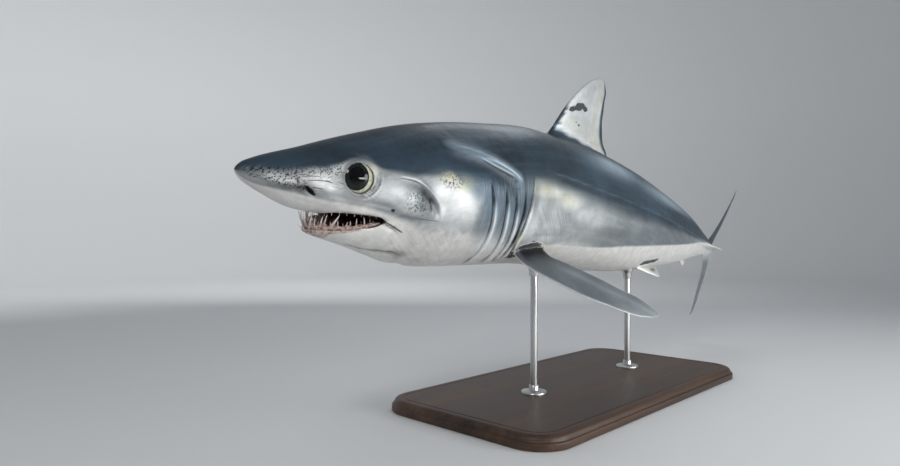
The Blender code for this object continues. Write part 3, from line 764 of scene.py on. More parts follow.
def fold_shapes(points):
    """How high the folds stand at points, and the painted shade in their grooves and painted highlight on
    their ridges.
    """
    points = left_of(points)
    height, dark, bright = (np.zeros(len(points)) for _ in range(3))
    for path, (rise, rise_width), (sink, sink_width, sink_at), (lead, trail), (darkness, light) in FOLDS.values():
        line = drawn_line(path)
        gap, along = near_line(points, line, 0.02)
        ends = ease(along, 0.001, lead) * (1 - ease(along, 1 - trail, 0.999))
        near = ends * (np.abs(gap) < 0.5)
        height += near * (rise * hill(gap, rise_width) - sink * hill(gap - sink_at, sink_width))
        dark = np.maximum(dark, near * darkness * hill(gap - sink_at, sink_width * 0.9))
        bright = np.maximum(bright, near * light * hill(gap, rise_width * 0.8))
    return height, dark, bright


def swellings(points):
    points = left_of(points)
    height = np.zeros(len(points))
    for at, degrees, along, around, rise in SWELLINGS.values():
        off = points - body_surface(at, math.radians(degrees))
        out = np.linalg.norm(off[:, 1:], axis=1) / around
        height += rise * np.exp(-((off[:, 0] / along) ** 2) - out**2)
    return height


def eye_frame():
    """The left eye's middle, and its directions: out of the head, forwards and up."""
    out = unit(EYE_FACES)
    forward = unit(np.array([-1.0, 0, 0]) + out[0] * out)
    return np.array(EYE_CENTRE) * TOTAL_LENGTH, out, forward, np.cross(forward, out)


def eye_places(points):
    """Height over the eye's middle, and distance from the opening's middle and angle round it, from the front
    by the top."""
    centre, out, forward, up = eye_frame()
    off = left_of(points) - centre
    u, v = off @ forward - OPENING_MIDDLE[0], off @ up - OPENING_MIDDLE[1]
    return off @ out, np.hypot(u, v), np.degrees(np.arctan2(v, u)) % 360


def eye_height(radius):
    return EYE_DEPTH * np.sqrt(np.clip(1 - (radius / EYE_RADIUS) ** 2, 0, 1))


def round_eye(angle, middle, reach):
    return hill((angle - middle + 180) % 360 - 180, reach)


def lid_shape(points):
    """How far each point moves along the eye's axis, so that the lids lie on the eye."""
    height, radius, angle = eye_places(points)
    seat = float(eye_height(EYE_OPENING)) + LID_THICKNESS
    near = (1 - ease(radius, EYE_OPENING * 1.02, EYE_OPENING * 1.9)) * (height > 0)
    move = near * (seat - 0.0004 * ease(radius, EYE_OPENING, EYE_OPENING * 1.6) - height)
    move += 0.0006 * hill(radius - EYE_OPENING * 1.08, 0.0018) * (height > 0) * round_eye(angle, 200, 110)
    for at, growth, width, depth, middle, reach in LID_FOLDS:
        on = round_eye(angle, middle, reach) * (height > 0)
        gap = radius - (at + growth * (middle - angle) / reach) * EYE_OPENING
        move += depth * (0.6 * hill(gap - width * 1.9, width) - hill(gap, width)) * on
    return move


def fold(skin):
    """Gives the joined skin its folds, swellings and lids."""
    mesh = skin.data
    points = places(mesh)
    height, _, _ = fold_shapes(points)
    points = points + outward(mesh) * (height + swellings(points))[:, None]
    _, out, _, _ = eye_frame()
    move = lid_shape(points)
    points += np.outer(move, out) * np.where(points[:, 1:2] > 0, (1, -1, 1), (1, 1, 1))
    put(mesh, points)


def ball_grid(centre, axes, radii, rings=26, count=64):
    """A closed ball of three radii along three axes, as rings."""
    lean = np.linspace(0, math.pi, rings + 2)[1:-1, None]
    turn = circle(count)[None]
    local = np.stack([np.cos(lean) + 0 * turn, np.sin(lean) * np.cos(turn), np.sin(lean) * np.sin(turn)], -1)
    return centre + (local * radii) @ np.array(axes)


def eye_cutters():
    """The room that the left eye takes, and its opening between the lids."""
    centre, out, forward, up = eye_frame()
    room = np.array((EYE_DEPTH, EYE_RADIUS, EYE_RADIUS)) + EYE_ROOM
    ball = ball_grid(centre, (out, forward, up), room)
    turn = circle(96)[None]
    height = np.linspace(float(eye_height(EYE_OPENING)) - 0.004, 0.03, 8)[:, None]
    edge = EYE_OPENING * (np.cos(turn)[..., None] * forward + np.sin(turn)[..., None] * up)
    middle = centre + OPENING_MIDDLE[0] * forward + OPENING_MIDDLE[1] * up
    opening = middle + height[..., None] * out + edge
    return ball, opening


def nostril_cutter():
    front, rear = (body_surface(at, math.radians(degrees)) for at, degrees in NOSTRIL_LINE)
    along = unit(rear - front)
    middle = (front + rear) / 2
    out = unit(middle - (middle[0], 0, middle[2] * 0.6))
    out = unit(out - along * (out @ along))
    return ball_grid(middle + out * 0.0012, (along, out, np.cross(along, out)), NOSTRIL_RADII)


def mouth_cutter():
    lengths = np.linspace(MOUTH_STATIONS[0][0], MOUTH_STATIONS[-1][0], 56)[:, None]
    turn = circle(80)[None]
    top, middle, bottom, half = columns(lengths, MOUTH_STATIONS)
    across = -np.sign(np.sin(turn)) * np.abs(np.sin(turn)) ** 0.8 * half
    up = np.cos(turn)
    z = middle + np.where(up > 0, (top - middle) * np.abs(up) ** 0.5, (bottom - middle) * np.abs(up) ** 1.6)
    return np.stack([lengths + 0 * turn, across, z], -1) * TOTAL_LENGTH


def mouth_ceiling(at, out):
    """The height of the mouth's roof, as its hollow is cut."""
    top, middle, _, half = columns(at, MOUTH_STATIONS)
    side = np.clip(np.abs(out) / half, 0, 1) ** 1.25
    return middle + (top - middle) * np.clip(1 - side**2, 0, 1) ** 0.25


# Openings, how far their edges are rounded in metres, and how many times.
EDGE_BLENDS = ((("socket", "nostril"), 0.0016, 4), (("mouth",), 0.0035, 8))


def opened(skin):
    """Cuts the mouth, the nostrils and the room for the eyes, and rounds their edges."""
    tools = [loft("mouth_cut", mouth_cutter(), "mouth")]
    ball, opening = eye_cutters()
    for mirror in ((1, 1, 1), (1, -1, 1)):
        tools.append(loft("ball_cut", ball * mirror, "socket"))
        tools.append(loft("lid_cut", opening * mirror, "socket"))
        tools.append(loft("nostril_cut", nostril_cutter() * mirror, "nostril"))
    combined(skin, tools, "DIFFERENCE")
    mesh = skin.data
    points = places(mesh)
    body = touches(mesh, "body", "jaw")
    for names, reach, rounds in EDGE_BLENDS:
        seam = body & touches(mesh, *names)
        near = hill(distance_to(points, points[seam], reach * 2), reach)
        soften(mesh, near * (near > 0.03), rounds)
    return skin


# ---------------------------------------------------------------- the skin's markings, painted highlights and painted shade

# The edge of the dark back and that of the white belly: share of the length, degrees round, and how softly
# it ends.
BACK_EDGE = (
    (0.0, 100, 44), (0.012, 76, 34), (0.02, 71, 15), (0.028, 70, 11), (0.036, 65, 9), (0.044, 62, 8),
    (0.052, 58, 5), (0.06, 60, 5), (0.068, 56, 4), (0.076, 53, 3), (0.09, 54, 2.5), (0.1, 59, 3),
    (0.11, 63, 3), (0.12, 65, 4), (0.135, 67, 3), (0.158, 66.5, 3), (0.17, 63.5, 3), (0.18, 71, 4),
    (0.19, 77, 6), (0.2, 82, 8), (0.21, 83, 12), (0.262, 80, 14), (0.28, 66, 4), (0.31, 68, 5),
    (0.35, 71, 5), (0.4, 76, 7), (0.45, 80, 8), (0.5, 85, 10), (0.56, 87, 12), (0.7, 88, 10),
    (0.76, 84, 8), (0.81, 76, 7), (0.89, 70, 7),
)
BELLY_EDGE = (
    (0.0, 150, 26), (0.02, 126, 12), (0.04, 112, 9), (0.06, 108, 10), (0.085, 104, 9), (0.11, 105, 10),
    (0.14, 109, 16), (0.18, 110, 18), (0.23, 114, 18), (0.262, 120, 14), (0.28, 126, 9), (0.3, 124, 6),
    (0.323, 120, 3.5), (0.427, 116.5, 3), (0.5, 111.5, 3), (0.5485, 109, 3), (0.65, 104, 3), (0.7, 100, 4),
    (0.75, 91, 4), (0.8, 83, 4), (0.89, 78, 5),
)
# Painted marks on the body: dark ones, partly markings and partly painted shade, and bright ones, mostly
# painted highlights and sheen with some pale patches. Share of the length and degrees round, reach along
# and round in the same, and strength.
DARK_SPOTS = (
    (0.006, 74, 0.008, 30, 0.28), (0.03, 20, 0.05, 30, 0.3), (0.115, 20, 0.06, 30, 0.15),
    (0.215, 22, 0.045, 10, 0.34), (0.48, 10, 0.1, 10, 0.55), (0.012, 96, 0.006, 12, 0.35),
    (0.052, 100, 0.006, 5, 0.3), (0.052, 120, 0.02, 6, 0.14), (0.044, 104, 0.004, 4, 0.45),
    (0.04, 96, 0.006, 5, 0.45), (0.048, 96, 0.005, 8, 0.95), (0.056, 92, 0.003, 2, 0.35),
    (0.096, 80, 0.0035, 5, 0.35), (0.101, 74, 0.005, 6, 0.34), (0.174, 115, 0.024, 12, 0.15),
    (0.128, 102.5, 0.0095, 3.2, 0.5), (0.14, 101, 0.01, 2.0, 0.4), (0.141, 84, 0.007, 8, 0.6),
    (0.15, 88, 0.003, 5, 0.7), (0.134, 76, 0.008, 4, 0.15), (0.15, 112, 0.02, 9, 0.08),
    (0.146, 150, 0.006, 9, 0.45), (0.206, 96, 0.005, 13, 0.25), (0.2655, 84, 0.0024, 16, 0.5),
    (0.283, 76, 0.005, 8, 0.34), (0.2668, 110, 0.0028, 9, 0.95), (0.228, 144, 0.0035, 5, 0.35),
    (0.25, 142, 0.0045, 6, 0.4), (0.269, 143, 0.0045, 6, 0.4), (0.44, 102, 0.035, 9, 0.2),
    (0.69, 58, 0.09, 8, 0.2),
)
BRIGHT_SPOTS = (
    (0.023, 89, 0.009, 12, 0.55), (0.008, 96, 0.006, 16, 0.25), (0.026, 93, 0.012, 8, 0.8),
    (0.033, 87, 0.008, 6, 0.8), (0.044, 78, 0.007, 7, 0.25), (0.057, 75, 0.012, 12, 0.72),
    (0.069, 63, 0.008, 7, 0.66), (0.0635, 86, 0.009, 6, 0.5), (0.074, 97, 0.015, 5, 0.38),
    (0.098, 64, 0.004, 5, 0.5), (0.106, 84, 0.008, 7, 0.15), (0.118, 76, 0.012, 6, 0.15),
    (0.13, 91, 0.014, 12, 0.42), (0.119, 84, 0.01, 9, 0.34), (0.124, 70, 0.006, 2, 0.3),
    (0.162, 78, 0.008, 8, 0.55), (0.164, 92, 0.006, 7, 0.6), (0.184, 90, 0.017, 17, 0.55),
    (0.23, 118, 0.016, 12, 0.5), (0.26, 108, 0.006, 6, 0.4), (0.198, 96, 0.006, 7, 0.35),
    (0.285, 102, 0.012, 14, 0.55), (0.312, 98, 0.03, 18, 0.42), (0.35, 118, 0.06, 5, 0.45),
    (0.39, 128, 0.05, 10, 0.35), (0.272, 114, 0.0025, 5, 0.8), (0.315, 74, 0.022, 4, 0.36),
    (0.315, 114, 0.03, 7, 0.62), (0.344, 80, 0.026, 6, 0.55), (0.37, 87, 0.024, 7, 0.48),
    (0.405, 91, 0.026, 7, 0.32), (0.27, 16, 0.06, 7, 0.22), (0.336, 13, 0.016, 7, 0.3),
    (0.45, 36, 0.05, 11, 0.72), (0.6, 43, 0.08, 11, 0.62), (0.64, 30, 0.07, 20, 0.34),
    (0.73, 22, 0.05, 22, 0.38), (0.72, 96, 0.05, 8, 0.12),
)
WARM_SPOTS = (
    (0.169, 67, 0.011, 4, 0.8), (0.185, 71, 0.01, 6, 0.7), (0.298, 72, 0.02, 5, 0.55),
    (0.335, 77, 0.022, 5, 0.45), (0.272, 115, 0.003, 6, 0.7), (0.318, 122, 0.009, 2.5, 0.9),
    (0.097, 62, 0.004, 7, 0.5),
)
# Fine lines: the dark ones scratches and painted shade along grooves and folds, the bright ones painted
# highlights along ridges. From and to as shares of the length and degrees round, how far they sag in
# degrees, half width in degrees and strength.
DARK_LINES = (
    (0.0385, 73.0, 0.0465, 70.5, -0.5, 0.75, 0.9), (0.0425, 75.5, 0.056, 72.3, -1.2, 0.7, 0.9),
    (0.044, 81.5, 0.0665, 80.0, -2.6, 0.75, 1.0), (0.059, 76.0, 0.064, 79.5, 0.0, 0.55, 0.7),
    (0.066, 66.0, 0.0745, 67.0, -0.4, 0.6, 0.8), (0.068, 78.0, 0.0735, 80.0, 0.0, 0.6, 0.6),
    (0.063, 84.0, 0.072, 85.0, 0.5, 0.5, 0.5), (0.0335, 82.0, 0.0378, 75.0, 0.0, 0.9, 0.8),
    (0.025, 84.5, 0.0295, 80.0, 0.0, 0.8, 0.7), (0.028, 92.0, 0.031, 87.0, 0.0, 0.8, 0.5),
    (0.049, 90.5, 0.058, 90.0, -0.4, 0.8, 0.9), (0.111, 121.0, 0.134, 122.4, -0.6, 1.7, 1.0),
    (0.131, 101.8, 0.164, 101.2, -0.4, 0.55, 0.6), (0.118, 69.8, 0.1385, 73.4, -1.0, 0.7, 0.6),
    (0.208, 51.4, 0.25, 66.0, 0.4, 0.75, 0.5), (0.22, 53.6, 0.256, 66.2, -0.6, 0.5, 0.4),
    (0.34, 57.5, 0.44, 61.0, 0.5, 0.5, 0.3),
)
BRIGHT_LINES = (
    (0.12, 67.9, 0.148, 78.3, -2.6, 0.5, 0.55), (0.206, 50.0, 0.251, 64.6, 0.4, 0.8, 0.4),
    (0.176, 40.0, 0.264, 69.0, -3.8, 1.7, 0.36), (0.218, 51.2, 0.262, 68.0, -0.8, 0.9, 0.45),
    (0.279, 122.0, 0.31, 115.8, -1.2, 1.1, 0.8), (0.306, 116.4, 0.334, 129.0, -3.0, 1.0, 0.9),
)
# Blots with torn edges: on the body a dark mark on the jaw and painted shadow at the roots of the pectoral
# and pelvic fins, on the dorsal fin its dark markings. Where they are on the body as above, or along and out
# on the dorsal fin, then the reach along and across, and how steeply they slope.
BODY_BLOTS = (
    (0.1165, 99.0, 0.0019, 2.4, 0.0), (0.288, 130.0, 0.01, 11.0, -400.0), (0.3, 127.0, 0.012, 12.0, 0.0),
    (0.311, 129.0, 0.01, 11.0, 300.0), (0.322, 131.0, 0.006, 4.0, 500.0),
    (0.579, 137.0, 0.01, 5.6, -140.0), (0.593, 135.0, 0.011, 5.2, -140.0),
    (0.605, 133.0, 0.007, 4.4, -140.0),
)
DORSAL_BLOTS = (
    (0.0345, 0.0376, 0.0065, 0.0032, 0.3), (0.045, 0.0424, 0.01, 0.0046, 0.25),
    (0.056, 0.0424, 0.0062, 0.003, -0.1), (0.0498, 0.0219, 0.0016, 0.0014, 0.0),
    (0.044, 0.024, 0.0008, 0.001, 0.0),
)
# Where the skin is speckled, scratched, streaked and wrinkled: from, to and how softly along, the same round
# in degrees, and how much.
PATCHES = {
    "speckle": (
        (0.002, 0.05, 0.012, 50, 112, 14, 1.0), (0.001, 0.018, 0.006, 40, 118, 20, 1.0),
        (0.122, 0.154, 0.01, 76, 102, 8, 0.7),
    ),
    "scratch": ((0.036, 0.11, 0.008, 60, 93, 7, 0.6),),
    "streak": ((0.2, 0.284, 0.014, 58, 160, 16, 1.0),),
    "wrinkle": ((0.281, 0.35, 0.012, 78, 124, 12, 1.0), (0.11, 0.205, 0.02, 104, 165, 16, 0.2)),
}
# How far the gum shows below the lower lip: share of the length, and how far down in such shares.
GUM_SHOWS = ((0.0725, 0.018), (0.077, 0.003), (0.085, 0.0024), (0.095, 0.0014), (0.104, 0.0))


def spots(at, degrees, table):
    """How much painted marks show: markings, painted highlights and painted shade."""
    found = np.zeros(len(at))
    for x, middle, along, around, strength in table:
        found = np.maximum(found, strength * hill(at - x, along) * hill(degrees - middle, around))
    return found


def fin_places(points, table, root, chord_way, span_way):
    """How far out on a fin points are, in shares of the length, and the share of the chord from the front."""
    ahead, span, _ = fin_axes(chord_way, span_way)
    off = points / TOTAL_LENGTH - np.array(root)
    out, along = off @ span, off @ ahead
    reach = np.clip(out, table[0][0], table[-1][0])
    front, rear = columns(reach, table)
    return out, along, np.clip((along - front) / np.maximum(rear - front, 1e-4), 0, 1)


# Each of these paints a fin: out and along are shares of the length, chord and share go from 0 to 1 across
# the fin and from its root to its tip.
def dorsal_marks(out, along, chord, share, looks):
    slope = out + 0.15 * (along - 0.016)
    base = 1 - ease(slope + 0.0012 * np.sin(along * 230), 0.007, 0.012)
    rear = ease(chord, 0.9, 0.96) * (1 - 0.25 * ease(share, 0.9, 1.0))
    torn = 0.018 * np.sin(out * 1400) + 0.014 * np.sin(out * 3100 + 1)
    front = (1 - ease(chord + torn, 0.03, 0.07)) * (1 - ease(out, 0.032, 0.046))
    back = np.clip(np.maximum.reduce([base, rear, front]), 0, 1)
    shade = (0.4 - 0.3 * ease(share, 0.55, 1.0)) * (1 - back) * (1 - base) - 0.35 * rear
    shade += 0.3 * hill(slope - 0.0135, 0.002) * (1 - rear)
    warm = np.maximum(0.3 * hill(chord - 0.74, 0.07), 0.2 * hill(slope - 0.024, 0.004)) * (1 - base)
    looks.update(back=back, belly=0 * back, shade=shade, warm=warm)


def pectoral_marks(out, along, chord, share, looks):
    above = looks["above"]
    edge = np.maximum(1 - ease(chord, 0.0, 0.035), ease(chord, 0.95, 0.985))
    shade = 0.6 * edge * ease(share, 0.03, 0.15) + 0.22 * ease(share, 0.75, 1.0)
    shade += 0.16 * hill(chord - 0.62, 0.12) * ease(share, 0.1, 0.4)
    inner = ease(chord, 0.04, 0.2) * (1 - ease(chord, 0.86, 1.0))
    # Painted shadow on the upper side, where the fin's root meets the body.
    shade -= 0.6 * hill(out - 0.001, 0.015) * above * inner
    shade -= 0.56 * above * (1 - ease(share, 0.0, 0.36))
    back = above * (0.5 - 0.14 * ease(share, 0.6, 1.0))
    looks.update(back=back, belly=1 - above, shade=shade, warm=0 * above)


def pelvic_marks(out, along, chord, share, looks):
    back = looks["above"] * 0.35 * ease(chord, 0.1, 0.5)
    wedge = hill(out - 0.0075, 0.003) * within(chord, 0.25, 0.95, 0.25)
    looks.update(back=back, belly=1 - back, shade=0.35 - 1.1 * wedge, warm=0.4 * hill(out - 0.0045, 0.002))


def anal_marks(out, along, chord, share, looks):
    looks.update(back=0 * out, belly=0 * out + 1)


def lobe_marks(back, rim, root):
    """The paint of a lobe of the tail: how dark it is, and how bright its edges and its root are."""

    def paint(out, along, chord, share, looks):
        edge = np.maximum(1 - ease(chord, 0.0, 0.08), ease(chord, 0.92, 0.99))
        shade = rim * edge + root * (1 - ease(share, 0.1, 0.24))
        looks.update(back=0 * out + back, belly=0 * out, shade=shade)

    return paint


FIN_MARKS = {
    "dorsal": dorsal_marks,
    "anal": anal_marks,
    "upper_lobe": lobe_marks(0.9, 0.2, 0.0),
    "lower_lobe": lobe_marks(0.42, 0.55, 0.6),
    "pectoral": pectoral_marks,
    "pelvic": pelvic_marks,
}


def fin_marks(mesh, points, looks):
    """Paints the fins over what the body has."""
    for name, paint in FIN_MARKS.items():
        on = touches(mesh, name)
        p = left_of(points[on]) if name in ("pectoral", "pelvic") else points[on]
        shape = FINS[name]
        out, along, chord = fin_places(p, *shape[:4])
        here = {key: looks[key][on] for key in ("back", "belly", "shade", "warm", "above")}
        paint(out, along, chord, np.clip(out / shape[0][-1][0], 0, 1), here)
        for key, values in here.items():
            looks[key][on] = values


def between_gills(at, degrees):
    """How much the blue grey of the gills covers the side."""
    slits = gill_places(degrees)
    front = ease(at, slits[0] - 0.028, slits[0] - 0.008)
    rear = 1 - ease(at, slits[4] - 0.0006, slits[4] + 0.0006)
    down = np.interp(degrees, (60, 80, 90, 98, 106, 120, 140), (1.0, 0.94, 0.86, 0.68, 0.46, 0.2, 0.0))
    return front * rear * down * ease(degrees, 50, 60)


def flank_grey(at, degrees):
    """The bluer grey of the rear flank, between the back and the belly."""
    edge = smooth(at, BELLY_EDGE, 1)
    low = 1 - ease(degrees, edge - 1.5, edge + 1.5)
    rear = ease(at, 0.42, 0.56) * ease(degrees, 70, 84)
    return low * np.maximum(0.46 * rear, 0.34 * ease(at, 0.36, 0.44) * ease(degrees, 90, 99))


def patches(at, degrees, rows):
    """How much patches with soft edges show."""
    found = np.zeros(len(at))
    for start, end, soft, first, last, soft_round, strength in rows:
        on = within(at, start, end, soft) * within(degrees, first, last, soft_round)
        found = np.maximum(found, on * strength)
    return found


def eye_marks(points, looks):
    """The lid's pale rim, the dark under it, and the painted shade and highlight along its folds."""
    height, radius, angle = eye_places(points)
    near_eye = (height > 0) * 1.0
    lid = hill(radius - EYE_OPENING * 1.02, 0.0018) * near_eye
    looks["warm"] = np.maximum(looks["warm"], 0.5 * lid * round_eye(angle, 180, 70))
    looks["shade"] += 0.4 * lid * round_eye(angle, 190, 70)
    ring = hill(radius - EYE_OPENING * 1.04, 0.003) * near_eye
    looks["shade"] -= 0.5 * ring * np.maximum(round_eye(angle, 10, 55), 0.8 * round_eye(angle, 285, 45))
    # Painted shade in each lid fold's groove, and a painted highlight on the ridge beside it.
    for distance, growth, width, depth, middle, reach in LID_FOLDS:
        gap = radius - (distance + growth * (middle - angle) / reach) * EYE_OPENING
        line = 420 * hill(gap, width * 1.2) - 260 * hill(gap - width * 2.4, width * 1.3)
        looks["shade"] -= depth * line * round_eye(angle, middle, reach) * near_eye
    past = np.maximum(radius - EYE_OPENING, 0)
    looks["back"] *= 1 - hill(past, 0.002) * near_eye * round_eye(angle, 190, 85)


def body_marks(points, at, degrees):
    """How much of each look the body has."""
    edge, soft = columns(at, BACK_EDGE)
    back = 1 - ease(degrees, edge - soft, edge + soft)
    speckle = within(at, 0.015, 0.082, 0.012) * hill(degrees - edge - 5, 10) * 0.9
    speckle = np.maximum(speckle, hill(at - 0.172, 0.012) * hill(degrees - 69, 5) * 0.9)
    _, gill_dark, gill_bright = (look[0] for look in gill_shape(at[None], degrees[None]))
    # Under the gill rims' painted highlight the blue grey gives way, so that the highlight shows whiter low
    # down.
    gills = between_gills(at, degrees) * (1 - 0.8 * gill_bright * ease(degrees, 84, 98))
    _, dark, bright = fold_shapes(points)
    # Painted shade in the grooves and slits and painted highlights on the ridges and rims, then the spots:
    # dark marks, painted shade and painted highlights.
    shade = np.maximum(bright, gill_bright) - np.maximum(dark, gill_dark)
    shade += spots(at, degrees, BRIGHT_SPOTS) - spots(at, degrees, DARK_SPOTS)
    # A painted highlight along the keels of the tail's stem.
    shade += 0.35 * within(at, 0.7, 0.9, 0.05) * hill(degrees - 92, 6)
    looks = {name: patches(at, degrees, rows) for name, rows in PATCHES.items()}
    looks["speckle"] = np.maximum(looks["speckle"], speckle)
    looks["back"] = np.maximum.reduce([back, gills, flank_grey(at, degrees)])
    looks["shade"], looks["warm"] = shade, spots(at, degrees, WARM_SPOTS)
    edge, soft = columns(at, BELLY_EDGE)
    looks["belly"] = ease(degrees, edge - soft, edge + soft)
    return looks


def marks(skin):
    """What the skin's material reads at each vertex, from the straight shark."""
    mesh = skin.data
    points = places(mesh)
    at, degrees = points[:, 0] / TOTAL_LENGTH, girth(points)
    looks = body_marks(points, at, degrees)
    looks["above"] = ease(outward(mesh)[:, 2], -0.25, 0.1)
    eye_marks(points, looks)
    fin_marks(mesh, points, looks)
    del looks["above"]
    looks["lining"] = touches(mesh, "mouth") * 1.0
    below = mouth_floor(at, jaw_half(at)) - points[:, 2] / TOTAL_LENGTH
    shown = np.interp(at, *np.transpose(GUM_SHOWS))
    looks["gum"] = touches(mesh, "jaw") * (1 - ease(below, shown - 0.0005, shown + 0.0004))
    looks["gum"] *= ease(shown, 0, 0.0008)
    # Painted shadow: the nostrils' hollows and the eye sockets are painted black.
    looks["shade"][touches(mesh, "nostril", "socket")] = -1.0

    # How the patterns lie: along, round and aslant in metres.
    top, bottom, half, _, _ = columns(at, BODY_STATIONS)
    radius = np.sqrt(np.maximum(top - bottom, 1e-4) / 2) * np.sqrt(np.maximum(half, 1e-4)) * TOTAL_LENGTH
    arc = np.radians(degrees) * radius
    looks["lie"] = np.column_stack([points[:, 0], arc, points[:, 0] - 0.8 * arc])

    # Where fine lines and blots read their place: along and round, or along and out on the dorsal fin.
    fins, dorsal = touches(mesh, *FINS), touches(mesh, "dorsal")
    out, along, _ = fin_places(points, *FINS["dorsal"][:4])
    round_or_out = np.where(dorsal, out * 100, np.where(fins, 180, degrees))
    looks["spot"] = np.column_stack([np.where(dorsal, along, at) * 100, round_or_out, dorsal * 1.0])
    return looks


def store(mesh, name, values):
    """Stores a number or three for each vertex."""
    values = np.asarray(values, np.float32)
    kind, field = ("FLOAT", "value") if values.ndim == 1 else ("FLOAT_VECTOR", "vector")
    layer = mesh.attributes.new(name, kind, "POINT")
    layer.data.foreach_set(field, values.ravel())


# ---------------------------------------------------------------- materials


class Value:
    """A value of a node tree. Reckoning with it adds nodes to that tree."""

    def __init__(self, socket):
        self.socket = socket

    def __add__(self, other):
        return maths("ADD", self, other)

    def __sub__(self, other):
        return maths("SUBTRACT", self, other)

    def __rsub__(self, other):
        return maths("SUBTRACT", other, self)

    def __mul__(self, other):
        return maths("MULTIPLY", self, other)

    def __truediv__(self, other):
        return maths("DIVIDE", self, other)

    def __pow__(self, other):
        return maths("POWER", self, other)

    def __abs__(self):
        return maths("ABSOLUTE", self)


def wire(socket, value):
    """Sets a socket, or links it to a value or another socket."""
    value = value.socket if isinstance(value, Value) else value
    if isinstance(value, bpy.types.NodeSocket):
        socket.id_data.links.new(value, socket)
    elif isinstance(value, tuple) and len(value) == 3 and socket.type == "RGBA":
        socket.default_value = (*value, 1.0)
    else:
        socket.default_value = value


def add(tree, kind, sockets=None, **settings):
    """A new node with its settings, and its sockets set or linked."""
    made = tree.nodes.new(kind)
    for key, value in settings.items():
        setattr(made, key, value)
    for key, value in (sockets or {}).items():
        wire(made.inputs[key], value)
    return made


def reckoned(kind, sockets, output=0, **settings):
    """What a new node makes of its sockets, in the tree of the values among them."""
    tree = next(value.socket.id_data for value in sockets.values() if isinstance(value, Value))
    return Value(add(tree, kind, sockets, **settings).outputs[output])


def maths(operation, first, second=0.0, clamp=False):
    return reckoned("ShaderNodeMath", {0: first, 1: second}, operation=operation, use_clamp=clamp)


def clipped(value, factor=1.0):
    """So many times a value, kept between 0 and 1."""
    return maths("MULTIPLY", value, factor, clamp=True)


def most(first, *others):
    """The largest of some values."""
    for other in others:
        first = maths("MAXIMUM", first, other)
    return first


def mixed(share, first, second, way="MIX"):
    """The first colour with a share of the second."""
    return reckoned("ShaderNodeMix", {0: share, 6: first, 7: second}, 2, data_type="RGBA", blend_type=way)


def read(tree, name, output="Fac"):
    """What the mesh has stored under a name."""
    return Value(add(tree, "ShaderNodeAttribute", attribute_name=name).outputs[output])


def noise(where, scale, detail=2.0, roughness=0.5):
    """Noise with so many waves a metre, the same in all directions or as many as is told for each."""
    if isinstance(scale, tuple):
        where, scale = reckoned("ShaderNodeVectorMath", {0: where, 1: scale}, operation="MULTIPLY"), 1.0
    sockets = {"Vector": where, "Scale": scale, "Detail": detail, "Roughness": roughness}
    return reckoned("ShaderNodeTexNoise", sockets, "Fac")


def band(value, low, high):
    """0 at low, 1 at high."""
    sockets = {"Value": value, "From Min": low, "From Max": high}
    return reckoned("ShaderNodeMapRange", sockets, "Result", interpolation_type="SMOOTHSTEP")


def set_looks(shader, looks):
    """Sets or links a shader's sockets by their names, written small and with underscores."""
    for key, value in looks.items():
        wire(shader.inputs[key.replace("_", " ").title().replace("Ior", "IOR")], value)


def finish(name, **looks):
    """A new material, its tree and the place of each point on it."""
    made = bpy.data.materials.new(name)
    made.use_nodes = True
    set_looks(made.node_tree.nodes["Principled BSDF"], looks)
    return made, made.node_tree, Value(add(made.node_tree, "ShaderNodeTexCoord").outputs["Object"])


def finished(made, *heights, **looks):
    """Gives a material its looks and its bumps, each a height and how far it stands in metres."""
    tree = made.node_tree
    shader = tree.nodes["Principled BSDF"]
    set_looks(shader, looks)
    normal = None
    for height, distance in heights:
        bump = add(tree, "ShaderNodeBump", {"Height": height, "Distance": distance, "Strength": 1.0})
        if normal:
            wire(bump.inputs["Normal"], normal)
        normal = bump.outputs["Normal"]
    wire(shader.inputs["Normal"], normal)
    return made


# The skin's colours, among them those of its painted highlights, sheen and shade, and the wood's from dark
# to light with their places in its figure.
SLATE = (0.035, 0.064, 0.094)
SLATE_DEEP = (0.017, 0.027, 0.037)
SLATE_LIGHT = (0.095, 0.145, 0.19)
# Painted sheen where light falls on the dark back.
SHEEN = (0.47, 0.59, 0.68)
SILVER = (0.38, 0.39, 0.39)
SILVER_LIGHT = (0.52, 0.54, 0.54)
SILVER_DULL = (0.235, 0.26, 0.275)
SILVER_DEEP = (0.17, 0.185, 0.19)
BELLY_WHITE = (0.84, 0.83, 0.8)
BELLY_DULL = (0.68, 0.67, 0.64)
# Painted highlight on the pale skin, also the colour of its lighter marks.
PALE = (0.88, 0.89, 0.88)
# Near black, for dark marks and for painted shade.
BLACK_MARKS_AND_SHADE = (0.006, 0.007, 0.009)
STRAW = (0.66, 0.64, 0.46)
STRAW_GLAZE = (1.0, 0.94, 0.66)
STREAK_LIGHT = (0.32, 0.39, 0.45)
CREASE_SHADE = (0.085, 0.095, 0.1)
GUM_DARK = (0.2, 0.13, 0.11)
GUM_PINK = (0.6, 0.5, 0.46)
LINING = (0.11, 0.055, 0.045)
LINING_LIGHT = (0.25, 0.15, 0.125)
WOOD = ((0.5, (0.022, 0.012, 0.008)), (0.78, (0.06, 0.031, 0.018)), (1.0, (0.11, 0.062, 0.036)))


def line_strength(at, round_or_out, lines):
    """How strongly fine lines show, each drawn between two places on the body."""
    shown = []
    for start, first, end, last, sag, half, strength in lines:
        t = (at - start * 100) / ((end - start) * 100)
        bow = t * (1.0 - t)
        centre = t * (last - first) + first + bow * (4 * sag)
        gap = abs(round_or_out - centre)
        shown.append(band(gap, half, 0.25 * half) * band(bow, 0.0, 0.16) * strength)
    return most(*shown)


def blots(at, round_or_out, torn, table, scale):
    """How strongly blots show, each an ellipse with torn edges on the body or the dorsal fin."""
    shown = []
    for x, y, along, across, slope in table:
        off = at - x * 100
        over = round_or_out - y * scale - off * (slope / 100 * scale)
        far = (off / (along * 100)) ** 2.0 + (over / (across * scale)) ** 2.0 + torn
        shown.append(band(far, 1.15, 0.75))
    return most(*shown)


